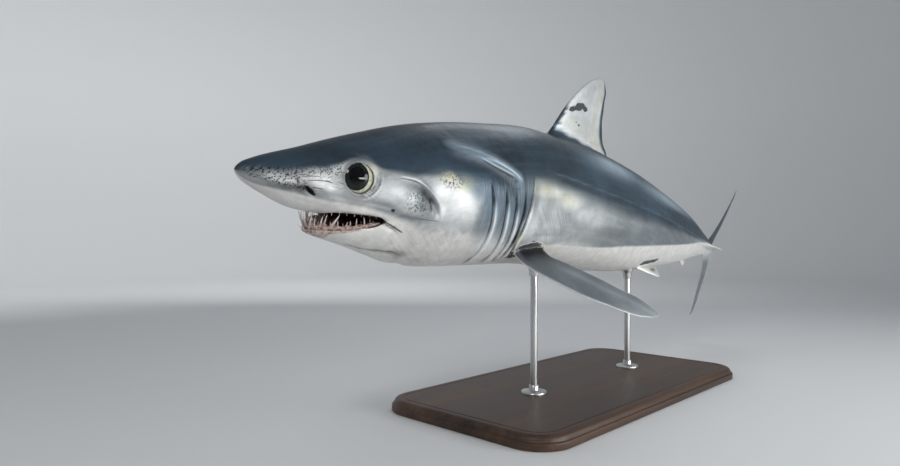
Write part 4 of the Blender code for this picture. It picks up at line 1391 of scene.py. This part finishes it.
def skin_finish():
    made, tree, here = finish("shark_skin", specular_ior_level=0.36, coat_weight=0.07, coat_roughness=0.24)
    lie, spot = (read(tree, name, "Vector") for name in ("lie", "spot"))
    names = ("back", "belly", "shade", "warm", "speckle", "scratch", "streak", "wrinkle", "gum", "lining")
    look = {name: read(tree, name) for name in names}
    cloud, mottle = noise(here, 9.0, 4.0, 0.6), noise(here, 60.0, 5.0, 0.65)
    flow = noise(lie, (7.0, 90.0, 0.0), 3.0, 0.55)

    # The two edges wander a little.
    wander = (mottle - 0.5) * 0.4
    back = clipped(look["back"] + wander * (look["back"] * (1.0 - look["back"])) * 4.0)
    white = band(look["belly"] + wander, 0.15, 0.85)

    slate = mixed(band(cloud, 0.3, 0.72), SLATE_DEEP, SLATE)
    slate = mixed(band(flow, 0.44, 0.86) * 0.34, slate, SLATE_LIGHT)
    slate = mixed(look["streak"] * 0.42, slate, SLATE_LIGHT)
    silver = mixed(band(cloud, 0.35, 0.7), SILVER_DULL, SILVER)
    silver = mixed(band(flow, 0.46, 0.74) * 0.3, silver, SILVER_LIGHT)
    silver = mixed(band(mottle, 0.56, 0.4) * 0.28, silver, SILVER_DEEP)
    cream = mixed(band(mottle, 0.35, 0.75), BELLY_DULL, BELLY_WHITE)
    colour = mixed(back, mixed(white, silver, cream), slate)

    # Upright streaks over the gills, and painted shade in the fine creases behind them.
    upright, creases = noise(lie, (420.0, 26.0, 0.0), 3.0, 0.6), noise(lie, (0.0, 14.0, 330.0), 1.0)
    colour = mixed(band(upright, 0.44, 0.7) * look["streak"] * 0.34, colour, STREAK_LIGHT)
    colour = mixed(band(upright, 0.46, 0.3) * look["streak"] * 0.4, colour, SLATE)
    colour = mixed(band(creases, 0.52, 0.36) * look["wrinkle"] * 0.62, colour, CREASE_SHADE)

    # Painted highlights and painted shade, with lighter and darker marks given the same way, and the grain of
    # the skin in them.
    ragged = (mottle - 0.5) * 0.5 + (flow - 0.5) * 0.16
    touch = look["shade"] + ragged * clipped(abs(look["shade"]), 2.0)
    glow = mixed(clipped(back, 1.2), PALE, SHEEN)
    colour = mixed(clipped(touch, 0.88), colour, glow)
    colour = mixed(clipped(touch, -0.95), colour, BLACK_MARKS_AND_SHADE)
    colour = mixed(look["warm"], colour, mixed(1.0, colour, STRAW_GLAZE, "MULTIPLY"))
    colour = mixed(look["warm"] * 0.35, colour, STRAW)

    # Pores, freckles and thin scratches of the snout.
    cells = add(tree, "ShaderNodeTexVoronoi", {"Vector": lie, "Scale": 330.0}).outputs
    kept = band(reckoned("ShaderNodeSeparateColor", {0: Value(cells["Color"])}), 0.5, 0.44)
    pores = band(Value(cells["Distance"]), 0.46, 0.26) * kept
    freckles = band(noise(lie, (230.0, 260.0, 0.0), 3.0, 0.7), 0.53, 0.6)
    scratches = band(abs(noise(lie, (14.0, 330.0, 0.0), 0.0) - 0.5), 0.022, 0.006)
    scratches = scratches * band(noise(lie, (45.0, 200.0, 0.0), 1.0), 0.5, 0.6) * look["scratch"]

    # Fine lines, and blots on the body and on the dorsal fin: dark marks, with painted shade in the dark
    # lines along grooves and in the blots at the fins' roots.
    at, round_or_out, on_dorsal = map(Value, add(tree, "ShaderNodeSeparateXYZ", {0: spot}).outputs)
    torn = (noise(here, 240.0, 3.0, 0.6) - 0.5) * 2.2
    darkness = most(
        most(pores, freckles) * look["speckle"],
        scratches,
        line_strength(at, round_or_out, DARK_LINES),
        blots(at, round_or_out, torn, BODY_BLOTS, 1.0) * (1.0 - on_dorsal),
        blots(at, round_or_out, torn, DORSAL_BLOTS, 100.0) * on_dorsal,
    )
    colour = mixed(darkness * 0.88, colour, BLACK_MARKS_AND_SHADE)
    # Painted highlights along the ridges.
    lit = line_strength(at, round_or_out, BRIGHT_LINES)
    colour = mixed(lit * 0.8, colour, glow)
    pink = mixed(band(noise(here, 260.0, 5.0, 0.65), 0.34, 0.6), GUM_DARK, GUM_PINK)
    colour = mixed(look["gum"], colour, pink)
    colour = mixed(look["lining"], colour, mixed(band(mottle, 0.35, 0.7), LINING, LINING_LIGHT))
    return finished(
        made,
        (noise(here, 26.0, 3.0, 0.55), 0.0016),
        (creases * look["wrinkle"], 0.0011),
        (upright * look["streak"], 0.001),
        (noise(lie, (60.0, 700.0, 0.0)), 0.0001),
        (noise(here, 700.0, 3.0, 0.6), 0.00007),
        (lit * 0.6 - darkness, 0.0004),
        base_color=colour,
        metallic=(1.0 - look["lining"]) * 0.22,
        roughness=mottle * 0.16 + 0.31 + clipped(most(darkness, touch * -1.0)) * 0.4,
    )


def eye_finish():
    looks = {"roughness": 0.3, "coat_weight": 0.6, "coat_roughness": 0.04, "specular_ior_level": 0.0}
    made, tree, here = finish("eye", **looks)
    disc, rays = read(tree, "disc"), noise(read(tree, "fibre", "Vector"), 26.0, 3.0, 0.6)
    iris = mixed(band(rays, 0.35, 0.7), (0.004, 0.005, 0.005), (0.02, 0.022, 0.021))
    colour = mixed(band(disc, 0.62, 0.72), (0.0015, 0.0015, 0.002), iris)
    colour = mixed(band(disc, 0.88, 0.96), colour, (0.002, 0.002, 0.002))
    veins = noise(here, 260.0, 4.0, 0.6)
    rim = mixed(band(veins, 0.3, 0.7), (0.4, 0.4, 0.28), (0.6, 0.6, 0.49))
    colour = mixed(band(disc, 0.99, 1.04), colour, rim)
    return finished(made, (rays * band(disc, 0.98, 0.9), 0.0002), (veins, 0.00004), base_color=colour)


def tooth_finish():
    made, tree, here = finish("tooth_enamel", roughness=0.24, coat_weight=0.4, coat_roughness=0.08)
    cloud = noise(here, 320.0, 4.0, 0.6)
    root = mixed(band(cloud, 0.35, 0.7), (0.44, 0.3, 0.26), (0.6, 0.47, 0.42))
    blade = mixed(band(cloud, 0.35, 0.7), (0.66, 0.6, 0.57), (0.84, 0.81, 0.79))
    colour = mixed(band(read(tree, "height"), 0.1, 0.75), root, blade)
    return finished(made, (cloud, 0.00006), base_color=colour)


def gum_finish():
    made, _, here = finish("gum", roughness=0.3, coat_weight=0.6, coat_roughness=0.1)
    cloud, cells = noise(here, 260.0, 5.0, 0.65), noise(here, 900.0)
    colour = mixed(band(cloud, 0.34, 0.64), (0.11, 0.062, 0.052), (0.52, 0.39, 0.34))
    colour = mixed(band(cells, 0.55, 0.75) * 0.35, colour, (0.56, 0.47, 0.42))
    return finished(made, (cloud, 0.0007), (cells, 0.00012), base_color=colour)


def wood_finish():
    """Dark stained wood, its grain along the base."""
    made, tree, here = finish("stained_wood", coat_weight=0.08, coat_roughness=0.3, specular_ior_level=0.35)
    rings = noise(here, (1.3, 34.0, 34.0), 5.0, 0.62)
    grain = add(tree, "ShaderNodeValToRGB", {"Fac": noise(here, (1.6, 7.0, 7.0)) * 0.55 + rings})
    ramp = grain.color_ramp
    ramp.elements.new(0.5)
    for element, (place, colour) in zip(ramp.elements, WOOD):
        element.position = place
        element.color = (*colour, 1.0)
    pores = band(noise(here, (26.0, 900.0, 900.0), 1.0), 0.62, 0.72)
    colour = mixed(pores * 0.7, Value(grain.outputs["Color"]), (0.008, 0.005, 0.004))
    return finished(
        made, (rings, 0.00025), (pores * -1.0, 0.00012), base_color=colour, roughness=rings * 0.22 + 0.36
    )


def steel_finish():
    made, _, here = finish("brushed_steel", metallic=1.0)
    brushed = noise(here, (90.0, 90.0, 2400.0), 3.0, 0.6)
    colour = mixed(band(brushed, 0.3, 0.7), (0.56, 0.56, 0.56), (0.62, 0.62, 0.61))
    return finished(made, (brushed, 0.000003), base_color=colour, roughness=noise(here, 30.0) * 0.06 + 0.28)


# ---------------------------------------------------------------- the pieces


def keep(obj, material, slot, *nodes):
    """A finished piece: what it wears, rides on and stands for."""
    obj.data.materials.clear()
    obj.data.materials.append(material)
    obj.data.polygons.foreach_set("material_index", np.zeros(len(obj.data.polygons), np.int32))
    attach(obj, "root")
    if nodes:
        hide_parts(*nodes)
    return obj


FLESH = (
    "head", "lower_jaw", "gill_region", "trunk_front", "trunk_middle", "trunk_rear", "tail", "tail_stem",
    "first_dorsal_fin", "second_dorsal_fin", "anal_fin", "upper_tail_lobe", "lower_tail_lobe",
    "pectoral_fin_left", "pectoral_fin_right", "pelvic_fin_left", "pelvic_fin_right",
)


def make_skin():
    skin = joined_skin()
    blend_roots(skin)
    fold(skin)
    opened(skin)
    for name, values in marks(skin).items():
        store(skin.data, name, values)
    put(skin.data, in_place(places(skin.data)))
    return keep(skin, skin_finish(), "skin", *FLESH)


IRIS_CENTRE = (0.0033, 0.0006)  # forwards and up from the opening's middle
IRIS_RADII = (0.0154, 0.0175)
CORNEA_RISE = 0.0009


def make_eye(side, mirror, material):
    """An eye with its cornea, and the marks that its pupil, iris and rim are painted by."""
    centre, out, forward, up = eye_frame()
    grid = ball_grid(centre, (out, forward, up), (EYE_DEPTH, EYE_RADIUS, EYE_RADIUS), 44, 96)
    eye = loft(f"eye_{side}_ball", grid)
    points = places(eye.data)
    off = points - centre
    u, v = off @ forward - IRIS_CENTRE[0], off @ up - IRIS_CENTRE[1]
    disc = np.hypot(u / IRIS_RADII[0], v / IRIS_RADII[1])
    front = (off @ out > 0) * 1.0
    points = points + np.outer(front * CORNEA_RISE * np.clip(1 - disc**2, 0, 1) ** 0.7, out)
    angle = np.arctan2(v, u)
    store(eye.data, "disc", disc * front + 3 * (1 - front))
    store(eye.data, "fibre", np.column_stack([np.cos(angle), np.sin(angle), disc * 0.08]))
    put(eye.data, in_place(points * mirror))
    if mirror[1] < 0:
        eye.data.flip_normals()
    return keep(eye, material, "eye", f"eye_{side}")


# From the front to the corner of each jaw's line.
LOWER_LINE_TL = (0.0644, 0.114)
UPPER_LINE_TL = (0.068, 0.111)


def jaw_line(share, lower, count):
    """Points along a jaw's edge from the right corner round the front to the left one, and how far each is
    from the front to a corner."""
    at = np.linspace(*(LOWER_LINE_TL if lower else UPPER_LINE_TL), 60)
    out = (jaw_half(at) if lower else smooth(at, MOUTH_STATIONS, 4)) * share
    z = mouth_floor(at, out) if lower else mouth_ceiling(at, out)
    left = np.column_stack([at, -out, z])
    middle = np.array([[at[0] - 0.0006, 0, z[0]]])
    whole = np.concatenate([left[::-1] * (1, -1, 1), middle, left])
    for _ in range(6):
        whole[1:-1] = (whole[:-2] + 2 * whole[1:-1] + whole[2:]) / 4
    way = np.concatenate([[0], np.cumsum(np.linalg.norm(np.diff(whole, axis=0), axis=1))])
    even = np.linspace(0, way[-1], count)
    points = np.stack([np.interp(even, way, whole[:, i]) for i in range(3)], 1) * TOTAL_LENGTH
    return points, np.abs(np.linspace(-1, 1, count))


def away_from_mouth(points):
    """Level directions out of the mouth along a jaw's line."""
    way = unit(np.gradient(points, axis=0))
    out = np.cross(way, (0, 0, 1.0))
    out[:, 2] = 0
    out = unit(out)
    inward = out[len(out) // 2, 0] > 0
    return -out if inward else out


GUM_BEHIND = 0.0026  # how far the gums stand behind the jaw's line at the front
GUM_ROOT = 0.0045  # how deep they reach under it
# Each gum: its place as a share of the jaw's half width, in the lower jaw or not, its height and half
# thickness at the front and at the corner in metres, lean out of the mouth, and how many lobes.
GUMS = {
    "lower_gum": (LOWER_ROW_SHARE, True, (0.0112, 0.0046), (0.003, 0.0024), 0.04, 13),
    "upper_gum": (UPPER_ROW_SHARE, False, (0.0018, 0.0012), (0.0034, 0.002), -0.1, 24),
}


def make_gum(name, material):
    """A gum along a jaw's line, lobed between the teeth and narrower to the corners."""
    share, lower, (tall, low), (thick, thin), lean, teeth = GUMS[name]
    line, along = jaw_line(share, lower, 220)
    out = away_from_mouth(line)
    line = line - out * (GUM_BEHIND * (1 - along[:, None]))
    up = np.array([0, 0, 1.0 if lower else -1.0])
    turn = circle(18)
    grid = []
    for i, (point, away, s) in enumerate(zip(line, out, along)):
        end = math.sqrt(max(1 - (max(s - 0.8, 0) / 0.2) ** 2, 0.01))
        lobe = 1 + 0.2 * math.cos(2 * math.pi * teeth * i / len(line)) * (1 - 0.5 * s)
        height = (tall + (low - tall) * s**0.8) * lobe * end
        width = (thick + (thin - thick) * s) * end
        rise = (np.sin(turn) * 0.5 + 0.5) * (height + GUM_ROOT) - GUM_ROOT
        across = np.cos(turn) * width * (0.5 + 0.5 * np.clip(1.15 + 1.5 * np.sin(turn), 0, 1))
        across = across + lean * np.maximum(rise, 0)
        grid.append(point + np.outer(across, away) + np.outer(rise, up))
    gum = loft(name, np.array(grid))
    put(gum.data, in_place(places(gum.data)))
    return keep(gum, material, "mouth")


# Each row: its place as a share of the jaw's half width, in the lower jaw or not, how many teeth, their
# length at the front and at the corner, lean out of the mouth, how high they start, and a seed.
TOOTH_ROWS = {
    "lower_teeth_inner": (0.7, True, 23, (0.0125, 0.005), -0.2, 0.004, 11),
    "upper_teeth_outer": (0.86, False, 20, (0.005, 0.0034), 0.05, 0.0004, 7),
    "upper_teeth_inner": (0.72, False, 14, (0.0046, 0.003), -0.3, 0.0004, 9),
}
# How uneven these rows are: a share of the size, the lean, and metres in and out.
UNEVEN_SIZE, UNEVEN_LEAN, UNEVEN_ROOT = 0.3, 0.2, 0.0012
# Each tooth of the lower jaw's outer row, on both sides: how far it is from the front to the corner, its
# place as a share of the jaw's half width, its length, its lean out of the mouth and towards the corner, and
# how high it starts.
LOWER_TEETH = (
    (0.019, 0.92, 0.022, 0.5, 0.13, 0.004), (0.042, 0.98, 0.0145, 0.9, -1.9, -0.002),
    (0.074, 0.82, 0.019, 0.18, 0.22, 0.0036), (0.134, 0.9, 0.012, 0.35, 0.05, 0.005),
    (0.204, 0.86, 0.015, 0.3, 0.17, 0.006), (0.254, 0.74, 0.014, 0.0, 0.22, 0.0085),
    (0.333, 0.86, 0.0215, 0.3, 0.62, 0.0045), (0.426, 0.78, 0.009, 0.1, 0.0, 0.006),
    (0.518, 0.86, 0.008, 0.3, 0.25, 0.0055), (0.592, 0.76, 0.0075, 0.0, 0.1, 0.006),
    (0.661, 0.85, 0.0098, 0.2, -0.12, 0.0064), (0.768, 0.85, 0.0104, 0.2, -0.28, 0.006),
    (0.86, 0.8, 0.006, 0.1, 0.0, 0.0046),
)


# A tooth from its root to its tip: height and radius, in its lengths.
TOOTH_PROFILE = (
    (-0.26, 0.1), (-0.06, 0.122), (0.1, 0.108), (0.34, 0.084), (0.62, 0.06), (0.85, 0.033), (1.0, 0.007),
)


def tooth_shape():
    """One awl-like tooth, a unit long: a thick root, flat in front and round behind, bent back at the tip."""
    turn = circle(10)
    grid = []
    for z, radius in TOOTH_PROFILE:
        flat = np.where(np.cos(turn) > 0, 0.62, 0.95)
        bow = 0.16 * z * (1.05 - z) * 1.6
        thick = np.cos(turn) * radius * flat + bow
        grid.append(np.column_stack([thick, np.sin(turn) * radius, np.full(10, z)]))
    tooth = loft("tooth", np.array(grid))
    store(tooth.data, "height", places(tooth.data)[:, 2])
    return tooth


def stored(tree, name, kind):
    return add(tree, "GeometryNodeInputNamedAttribute", {"Name": name}, data_type=kind).outputs["Attribute"]


def teeth_tree(tooth, material):
    """Geometry nodes that stand a tooth on every point, along the point's own directions."""
    tree = bpy.data.node_groups.new("rows_of_teeth", "GeometryNodeTree")
    for name, way, kind in (
        ("Roots", "INPUT", "NodeSocketGeometry"),
        ("Unevenness", "INPUT", "NodeSocketFloat"),
        ("Seed", "INPUT", "NodeSocketInt"),
        ("Teeth", "OUTPUT", "NodeSocketGeometry"),
    ):
        tree.interface.new_socket(name, in_out=way, socket_type=kind)
    given, result = tree.nodes.new("NodeGroupInput").outputs, tree.nodes.new("NodeGroupOutput").inputs
    upright = add(
        tree, "FunctionNodeAlignRotationToVector", {"Vector": stored(tree, "aim", "FLOAT_VECTOR")}, axis="Z"
    )
    ways = {"Rotation": upright.outputs[0], "Vector": stored(tree, "face", "FLOAT_VECTOR")}
    turned = add(tree, "FunctionNodeAlignRotationToVector", ways, axis="X", pivot_axis="Z")
    least, greatest = (
        add(tree, "ShaderNodeVectorMath", {0: (sign,) * 3, "Scale": given["Unevenness"]}, operation="SCALE")
        for sign in (-1.0, 1.0)
    )
    limits = {0: least.outputs[0], 1: greatest.outputs[0], "Seed": given["Seed"]}
    chance = add(tree, "FunctionNodeRandomValue", limits, data_type="FLOAT_VECTOR")
    jitter = add(tree, "FunctionNodeEulerToRotation", {0: chance.outputs[0]})
    turns = {"Rotation": turned.outputs[0], "Rotate By": jitter.outputs[0]}
    leaning = add(tree, "FunctionNodeRotateRotation", turns, rotation_space="LOCAL")
    placing = {
        "Points": given["Roots"],
        "Instance": add(tree, "GeometryNodeObjectInfo", {"Object": tooth}).outputs["Geometry"],
        "Rotation": leaning.outputs[0],
        "Scale": stored(tree, "size", "FLOAT"),
    }
    stood = add(tree, "GeometryNodeInstanceOnPoints", placing)
    real = add(tree, "GeometryNodeRealizeInstances", {0: stood.outputs[0]})
    worn = add(tree, "GeometryNodeSetMaterial", {"Geometry": real.outputs[0], "Material": material})
    wire(result[0], worn.outputs[0])
    return tree


def turned_in_place(points, ways):
    """Directions of the straight shark as they lie in its pose."""
    step = 1e-4
    return unit(in_place(points + ways * step) - in_place(points))


def row_of_teeth(share, lower, count, lengths, lean, start, seed):
    """The roots of an even row, the way each tooth stands and faces, and its length."""
    line, along = jaw_line(share, lower, 4 * count + 1)
    out = away_from_mouth(line)[2::4]
    line, along = line[2::4], along[2::4]
    rng = np.random.default_rng(seed)
    up = np.array([0, 0, 1.0 if lower else -1.0])
    size = lengths[0] + (lengths[1] - lengths[0]) * along**0.75
    size = size * (1 + UNEVEN_SIZE * rng.uniform(-1, 1, len(size)))
    lean = lean * (1 - 0.8 * along**0.7) + rng.uniform(-UNEVEN_LEAN, UNEVEN_LEAN, len(size))
    roots = line + up * (start * (1 - 0.6 * along))[:, None]
    roots = roots + out * (UNEVEN_ROOT * rng.uniform(-1, 1, len(size)))[:, None]
    return roots, unit(up + out * lean[:, None]), out, size


def listed_teeth():
    """The same for the lower jaw's outer teeth, one by one."""
    found = []
    for side in (1, -1):
        for place, share, length, lean_out, lean_along, start in LOWER_TEETH:
            line, _ = jaw_line(share, True, 401)
            out, way = away_from_mouth(line), unit(np.gradient(line, axis=0)) * side
            i = round(200 + side * place * 200)
            root = line[i] + (0, 0, start)
            aim = unit(np.array((0, 0, 1.0)) + out[i] * lean_out + way[i] * lean_along)
            found.append((root, aim, out[i], length))
    roots, aim, out, size = zip(*found)
    return np.array(roots), np.array(aim), np.array(out), np.array(size)


def make_teeth(name, placed, tree, unevenness, seed, material):
    """A row of teeth, stood on their roots by the tree."""
    roots, aim, out, size = placed
    looks = {"aim": turned_in_place(roots, aim), "face": turned_in_place(roots, out), "size": size}
    mesh = bpy.data.meshes.new(f"{name}_roots")
    mesh.from_pydata(in_place(roots).tolist(), [], [])
    for key, values in looks.items():
        store(mesh, key, values)
    teeth = bpy.data.objects.new(name, mesh)
    bpy.context.scene.collection.objects.link(teeth)
    step = teeth.modifiers.new("rows", "NODES")
    step.node_group = tree
    for item in tree.interface.items_tree:
        if item.in_out == "INPUT" and item.name in ("Unevenness", "Seed"):
            step[item.identifier] = {"Unevenness": unevenness, "Seed": seed}[item.name]
    flattened(teeth)
    teeth.data.shade_smooth()
    return keep(teeth, material, "tooth")


# ---------------------------------------------------------------- the stand

BASE_CORNER = 0.06
CORNER_STEPS = 16
# The base's edge, from the underside up: how far in from the outline and how high.
BASE_EDGE = (
    (0.006, 0.0), (0.002, 0.0), (0.0005, 0.0006), (0.0, 0.002), (0.0, 0.01), (0.0004, 0.0112),
    (0.0018, 0.012), (0.0034, 0.0124), (0.004, 0.0134), (0.0044, 0.0158), (0.0056, 0.0184),
    (0.0078, 0.0206), (0.011, 0.0218), (0.014, 0.022), (0.02, 0.022), (0.0206, 0.0213), (0.0216, 0.021),
    (0.0226, 0.0213), (0.0232, 0.022), (0.03, 0.022),
)
ROD_RADIUS = 0.0065
# Turned shapes at a rod's foot and top: radius and height.
FLANGE = (
    (0.023, 0.0), (0.023, 0.0018), (0.0222, 0.0028), (0.0205, 0.0033), (0.012, 0.004), (0.0098, 0.0056),
    (0.009, 0.009), (0.0088, 0.0125), (0.0082, 0.0133), (0.0066, 0.0136),
)
SADDLE = (
    (0.0066, -0.016), (0.008, -0.0156), (0.0086, -0.014), (0.009, -0.006), (0.0105, -0.001), (0.013, 0.004),
    (0.0128, 0.007), (0.009, 0.008),
)


def sharpened(obj, degrees):
    obj.data.set_sharp_from_angle(angle=math.radians(degrees))
    return obj


def make_base(material):
    """A board with round corners and a moulded edge."""
    low, high = (np.array(corner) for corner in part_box("stand_base"))
    middle, half = (low + high) / 2, (high - low) / 2
    grid = [[] for _ in BASE_EDGE]
    for corner, (sx, sy) in enumerate(((1, 1), (-1, 1), (-1, -1), (1, -1))):
        for angle in (corner + np.arange(CORNER_STEPS + 1) / CORNER_STEPS) * math.pi / 2:
            for ring, (inset, z) in zip(grid, BASE_EDGE):
                x = sx * (half[0] - BASE_CORNER) + (BASE_CORNER - inset) * math.cos(angle)
                y = sy * (half[1] - BASE_CORNER) + (BASE_CORNER - inset) * math.sin(angle)
                ring.append((middle[0] + x, middle[1] + y, low[2] + z))
    base = loft("stand_base_board", np.array(grid))
    sharpened(base, 35)
    return keep(base, material, "stand_wood", "stand_base")


def lathe(name, profile, centre, count=56):
    """A turned shape, from its radii and heights."""
    x, y, z = centre
    turn = circle(count)
    grid = [[(x + r * math.cos(a), y + r * math.sin(a), z + up) for a in turn] for r, up in profile]
    return sharpened(loft(name, np.array(grid)), 40)


def make_rod(which, material):
    """A rod with a flange on the board and a saddle under the shark."""
    low, high = (np.array(corner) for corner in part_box(f"stand_rod_{which}"))
    x, y = (low + high)[:2] / 2
    foot, top = low[2] - 0.002, high[2] + 0.006
    bar = [(ROD_RADIUS, share * (top - foot)) for share in (0.0, 0.3, 0.7, 1.0)]
    rod = lathe(f"stand_rod_{which}_bar", bar, (x, y, foot))
    keep(rod, material, "stand_steel", f"stand_rod_{which}")
    flange = lathe(f"stand_rod_{which}_flange", FLANGE, (x, y, low[2] - 0.0003))
    keep(flange, material, "stand_steel")
    saddle = lathe(f"stand_rod_{which}_saddle", SADDLE, (x, y, high[2] - 0.004))
    keep(saddle, material, "stand_steel")


# ---------------------------------------------------------------- the stage, lights and camera

CAMERA_FROM_SNOUT = (-0.3672, -0.6944, -0.073)
CAMERA_LOOKS = (0.722, 0.692, 0.0)
LENS_MM = 26.0
FLOOR_FLAT, FLOOR_CURVE, WALL_HEIGHT = 3.4, 1.4, 5.0
FLOOR_UNDER = 0.0002  # just under the board, so that the two faces don't fight


def from_snout(*offset):
    """A place, by its offset from the tip of the snout in the frame."""
    return SNOUT + np.array(offset)


def make_stage():
    """A pale floor that curves up all round, far behind the stand."""
    profile = [(0.001, 0.0), (1.2, 0.0), (2.6, 0.0)]
    for a in np.linspace(0, math.pi / 2, 14):
        profile.append((FLOOR_FLAT + FLOOR_CURVE * math.sin(a), FLOOR_CURVE * (1 - math.cos(a))))
    profile.append((FLOOR_FLAT + FLOOR_CURVE, WALL_HEIGHT))
    count = 96
    grid = np.array([[(r * math.cos(a), r * math.sin(a), z) for a in circle(count)] for r, z in profile])
    floor = mesh_object("floor", grid.reshape(-1, 3), grid_faces(len(profile), count))
    if floor.data.polygons[count].normal.z < 0:
        floor.data.flip_normals()
    floor.data.materials.clear()
    floor.data.materials.append(finish("pale_floor", base_color=(0.78, 0.79, 0.8), roughness=0.65)[0])
    floor.location.z = -FLOOR_UNDER


def light(name, spot, target, size, power, colour=(1.0, 1.0, 1.0), spread=180):
    """An oval lamp that faces its target."""
    data = bpy.data.lights.new(name, "AREA")
    data.spread = math.radians(spread)
    data.shape = "ELLIPSE"
    data.size, data.size_y = size
    data.energy = power
    data.color = colour
    lamp = bpy.data.objects.new(name, data)
    lamp.location = spot
    lamp.rotation_euler = (Vector(target) - Vector(spot)).to_track_quat("-Z", "Y").to_euler()
    bpy.context.scene.collection.objects.link(lamp)


def make_lights():
    head, middle = from_snout(0.14, 0.12, 0.0), from_snout(0.55, 0.25, 0.0)
    ahead, right, up = unit(CAMERA_LOOKS), np.array((0.692, -0.722, 0.0)), np.array((0, 0, 1.0))
    behind = from_snout(*CAMERA_FROM_SNOUT) - ahead * 0.6
    light("key", behind - right * 0.55 + up * 0.9, head + right * 0.12, (0.5, 0.5), 9.0, (1.0, 0.99, 0.97))
    light("fill", from_snout(1.5, -1.7, 0.12), middle, (0.9, 0.9), 15.0, (0.97, 0.99, 1.0))
    light("low", from_snout(0.6, -1.5, -0.05), middle - up * 0.05, (1.0, 0.2), 3.6, spread=112)
    light("top", from_snout(1.7, 0.45, 1.4), middle + (0.35, 0.0, 0.0), (1.2, 0.6), 5.0, (0.93, 0.97, 1.0))
    light("wall", from_snout(1.3, 1.6, 1.2), from_snout(3.4, 3.6, 1.1), (2.0, 1.2), 26.0)
    light("wall_left", from_snout(-0.6, 2.2, 1.2), from_snout(-0.2, 4.4, 1.0), (2.0, 1.2), 22.0)
    world = bpy.data.worlds.new("studio")
    world.use_nodes = True
    set_looks(world.node_tree.nodes["Background"], {"color": (0.8, 0.85, 0.9), "strength": 0.3})
    bpy.context.scene.world = world
    bpy.context.scene.view_settings.view_transform = "Standard"


def make_camera():
    data = bpy.data.cameras.new("camera")
    data.sensor_width = 36.0
    data.lens = LENS_MM
    data.clip_start = 0.02
    camera = bpy.data.objects.new("camera", data)
    ahead = Vector(CAMERA_LOOKS).normalized()
    up = Vector((0, 0, 1))
    turned = Matrix((ahead.cross(up), up, -ahead)).transposed()
    camera.matrix_world = Matrix.Translation(Vector(from_snout(*CAMERA_FROM_SNOUT))) @ turned.to_4x4()
    bpy.context.scene.collection.objects.link(camera)
    bpy.context.scene.camera = camera


def make_shark():
    make_skin()
    eye, gum, enamel = eye_finish(), gum_finish(), tooth_finish()
    make_eye("left", (1, 1, 1), eye)
    make_eye("right", (1, -1, 1), eye)
    for name in GUMS:
        make_gum(name, gum)
    tooth = tooth_shape()
    tree = teeth_tree(tooth, enamel)
    make_teeth("lower_teeth_outer", listed_teeth(), tree, 0.03, 2, enamel)
    for name, row in TOOTH_ROWS.items():
        make_teeth(name, row_of_teeth(*row), tree, 0.17, row[-1], enamel)
    discard(tooth)


def make_stand():
    make_base(wood_finish())
    steel = steel_finish()
    make_rod("front", steel)
    make_rod("rear", steel)


make_shark()
make_stand()
make_stage()
make_lights()
make_camera()
bpy.context.view_layer.update()
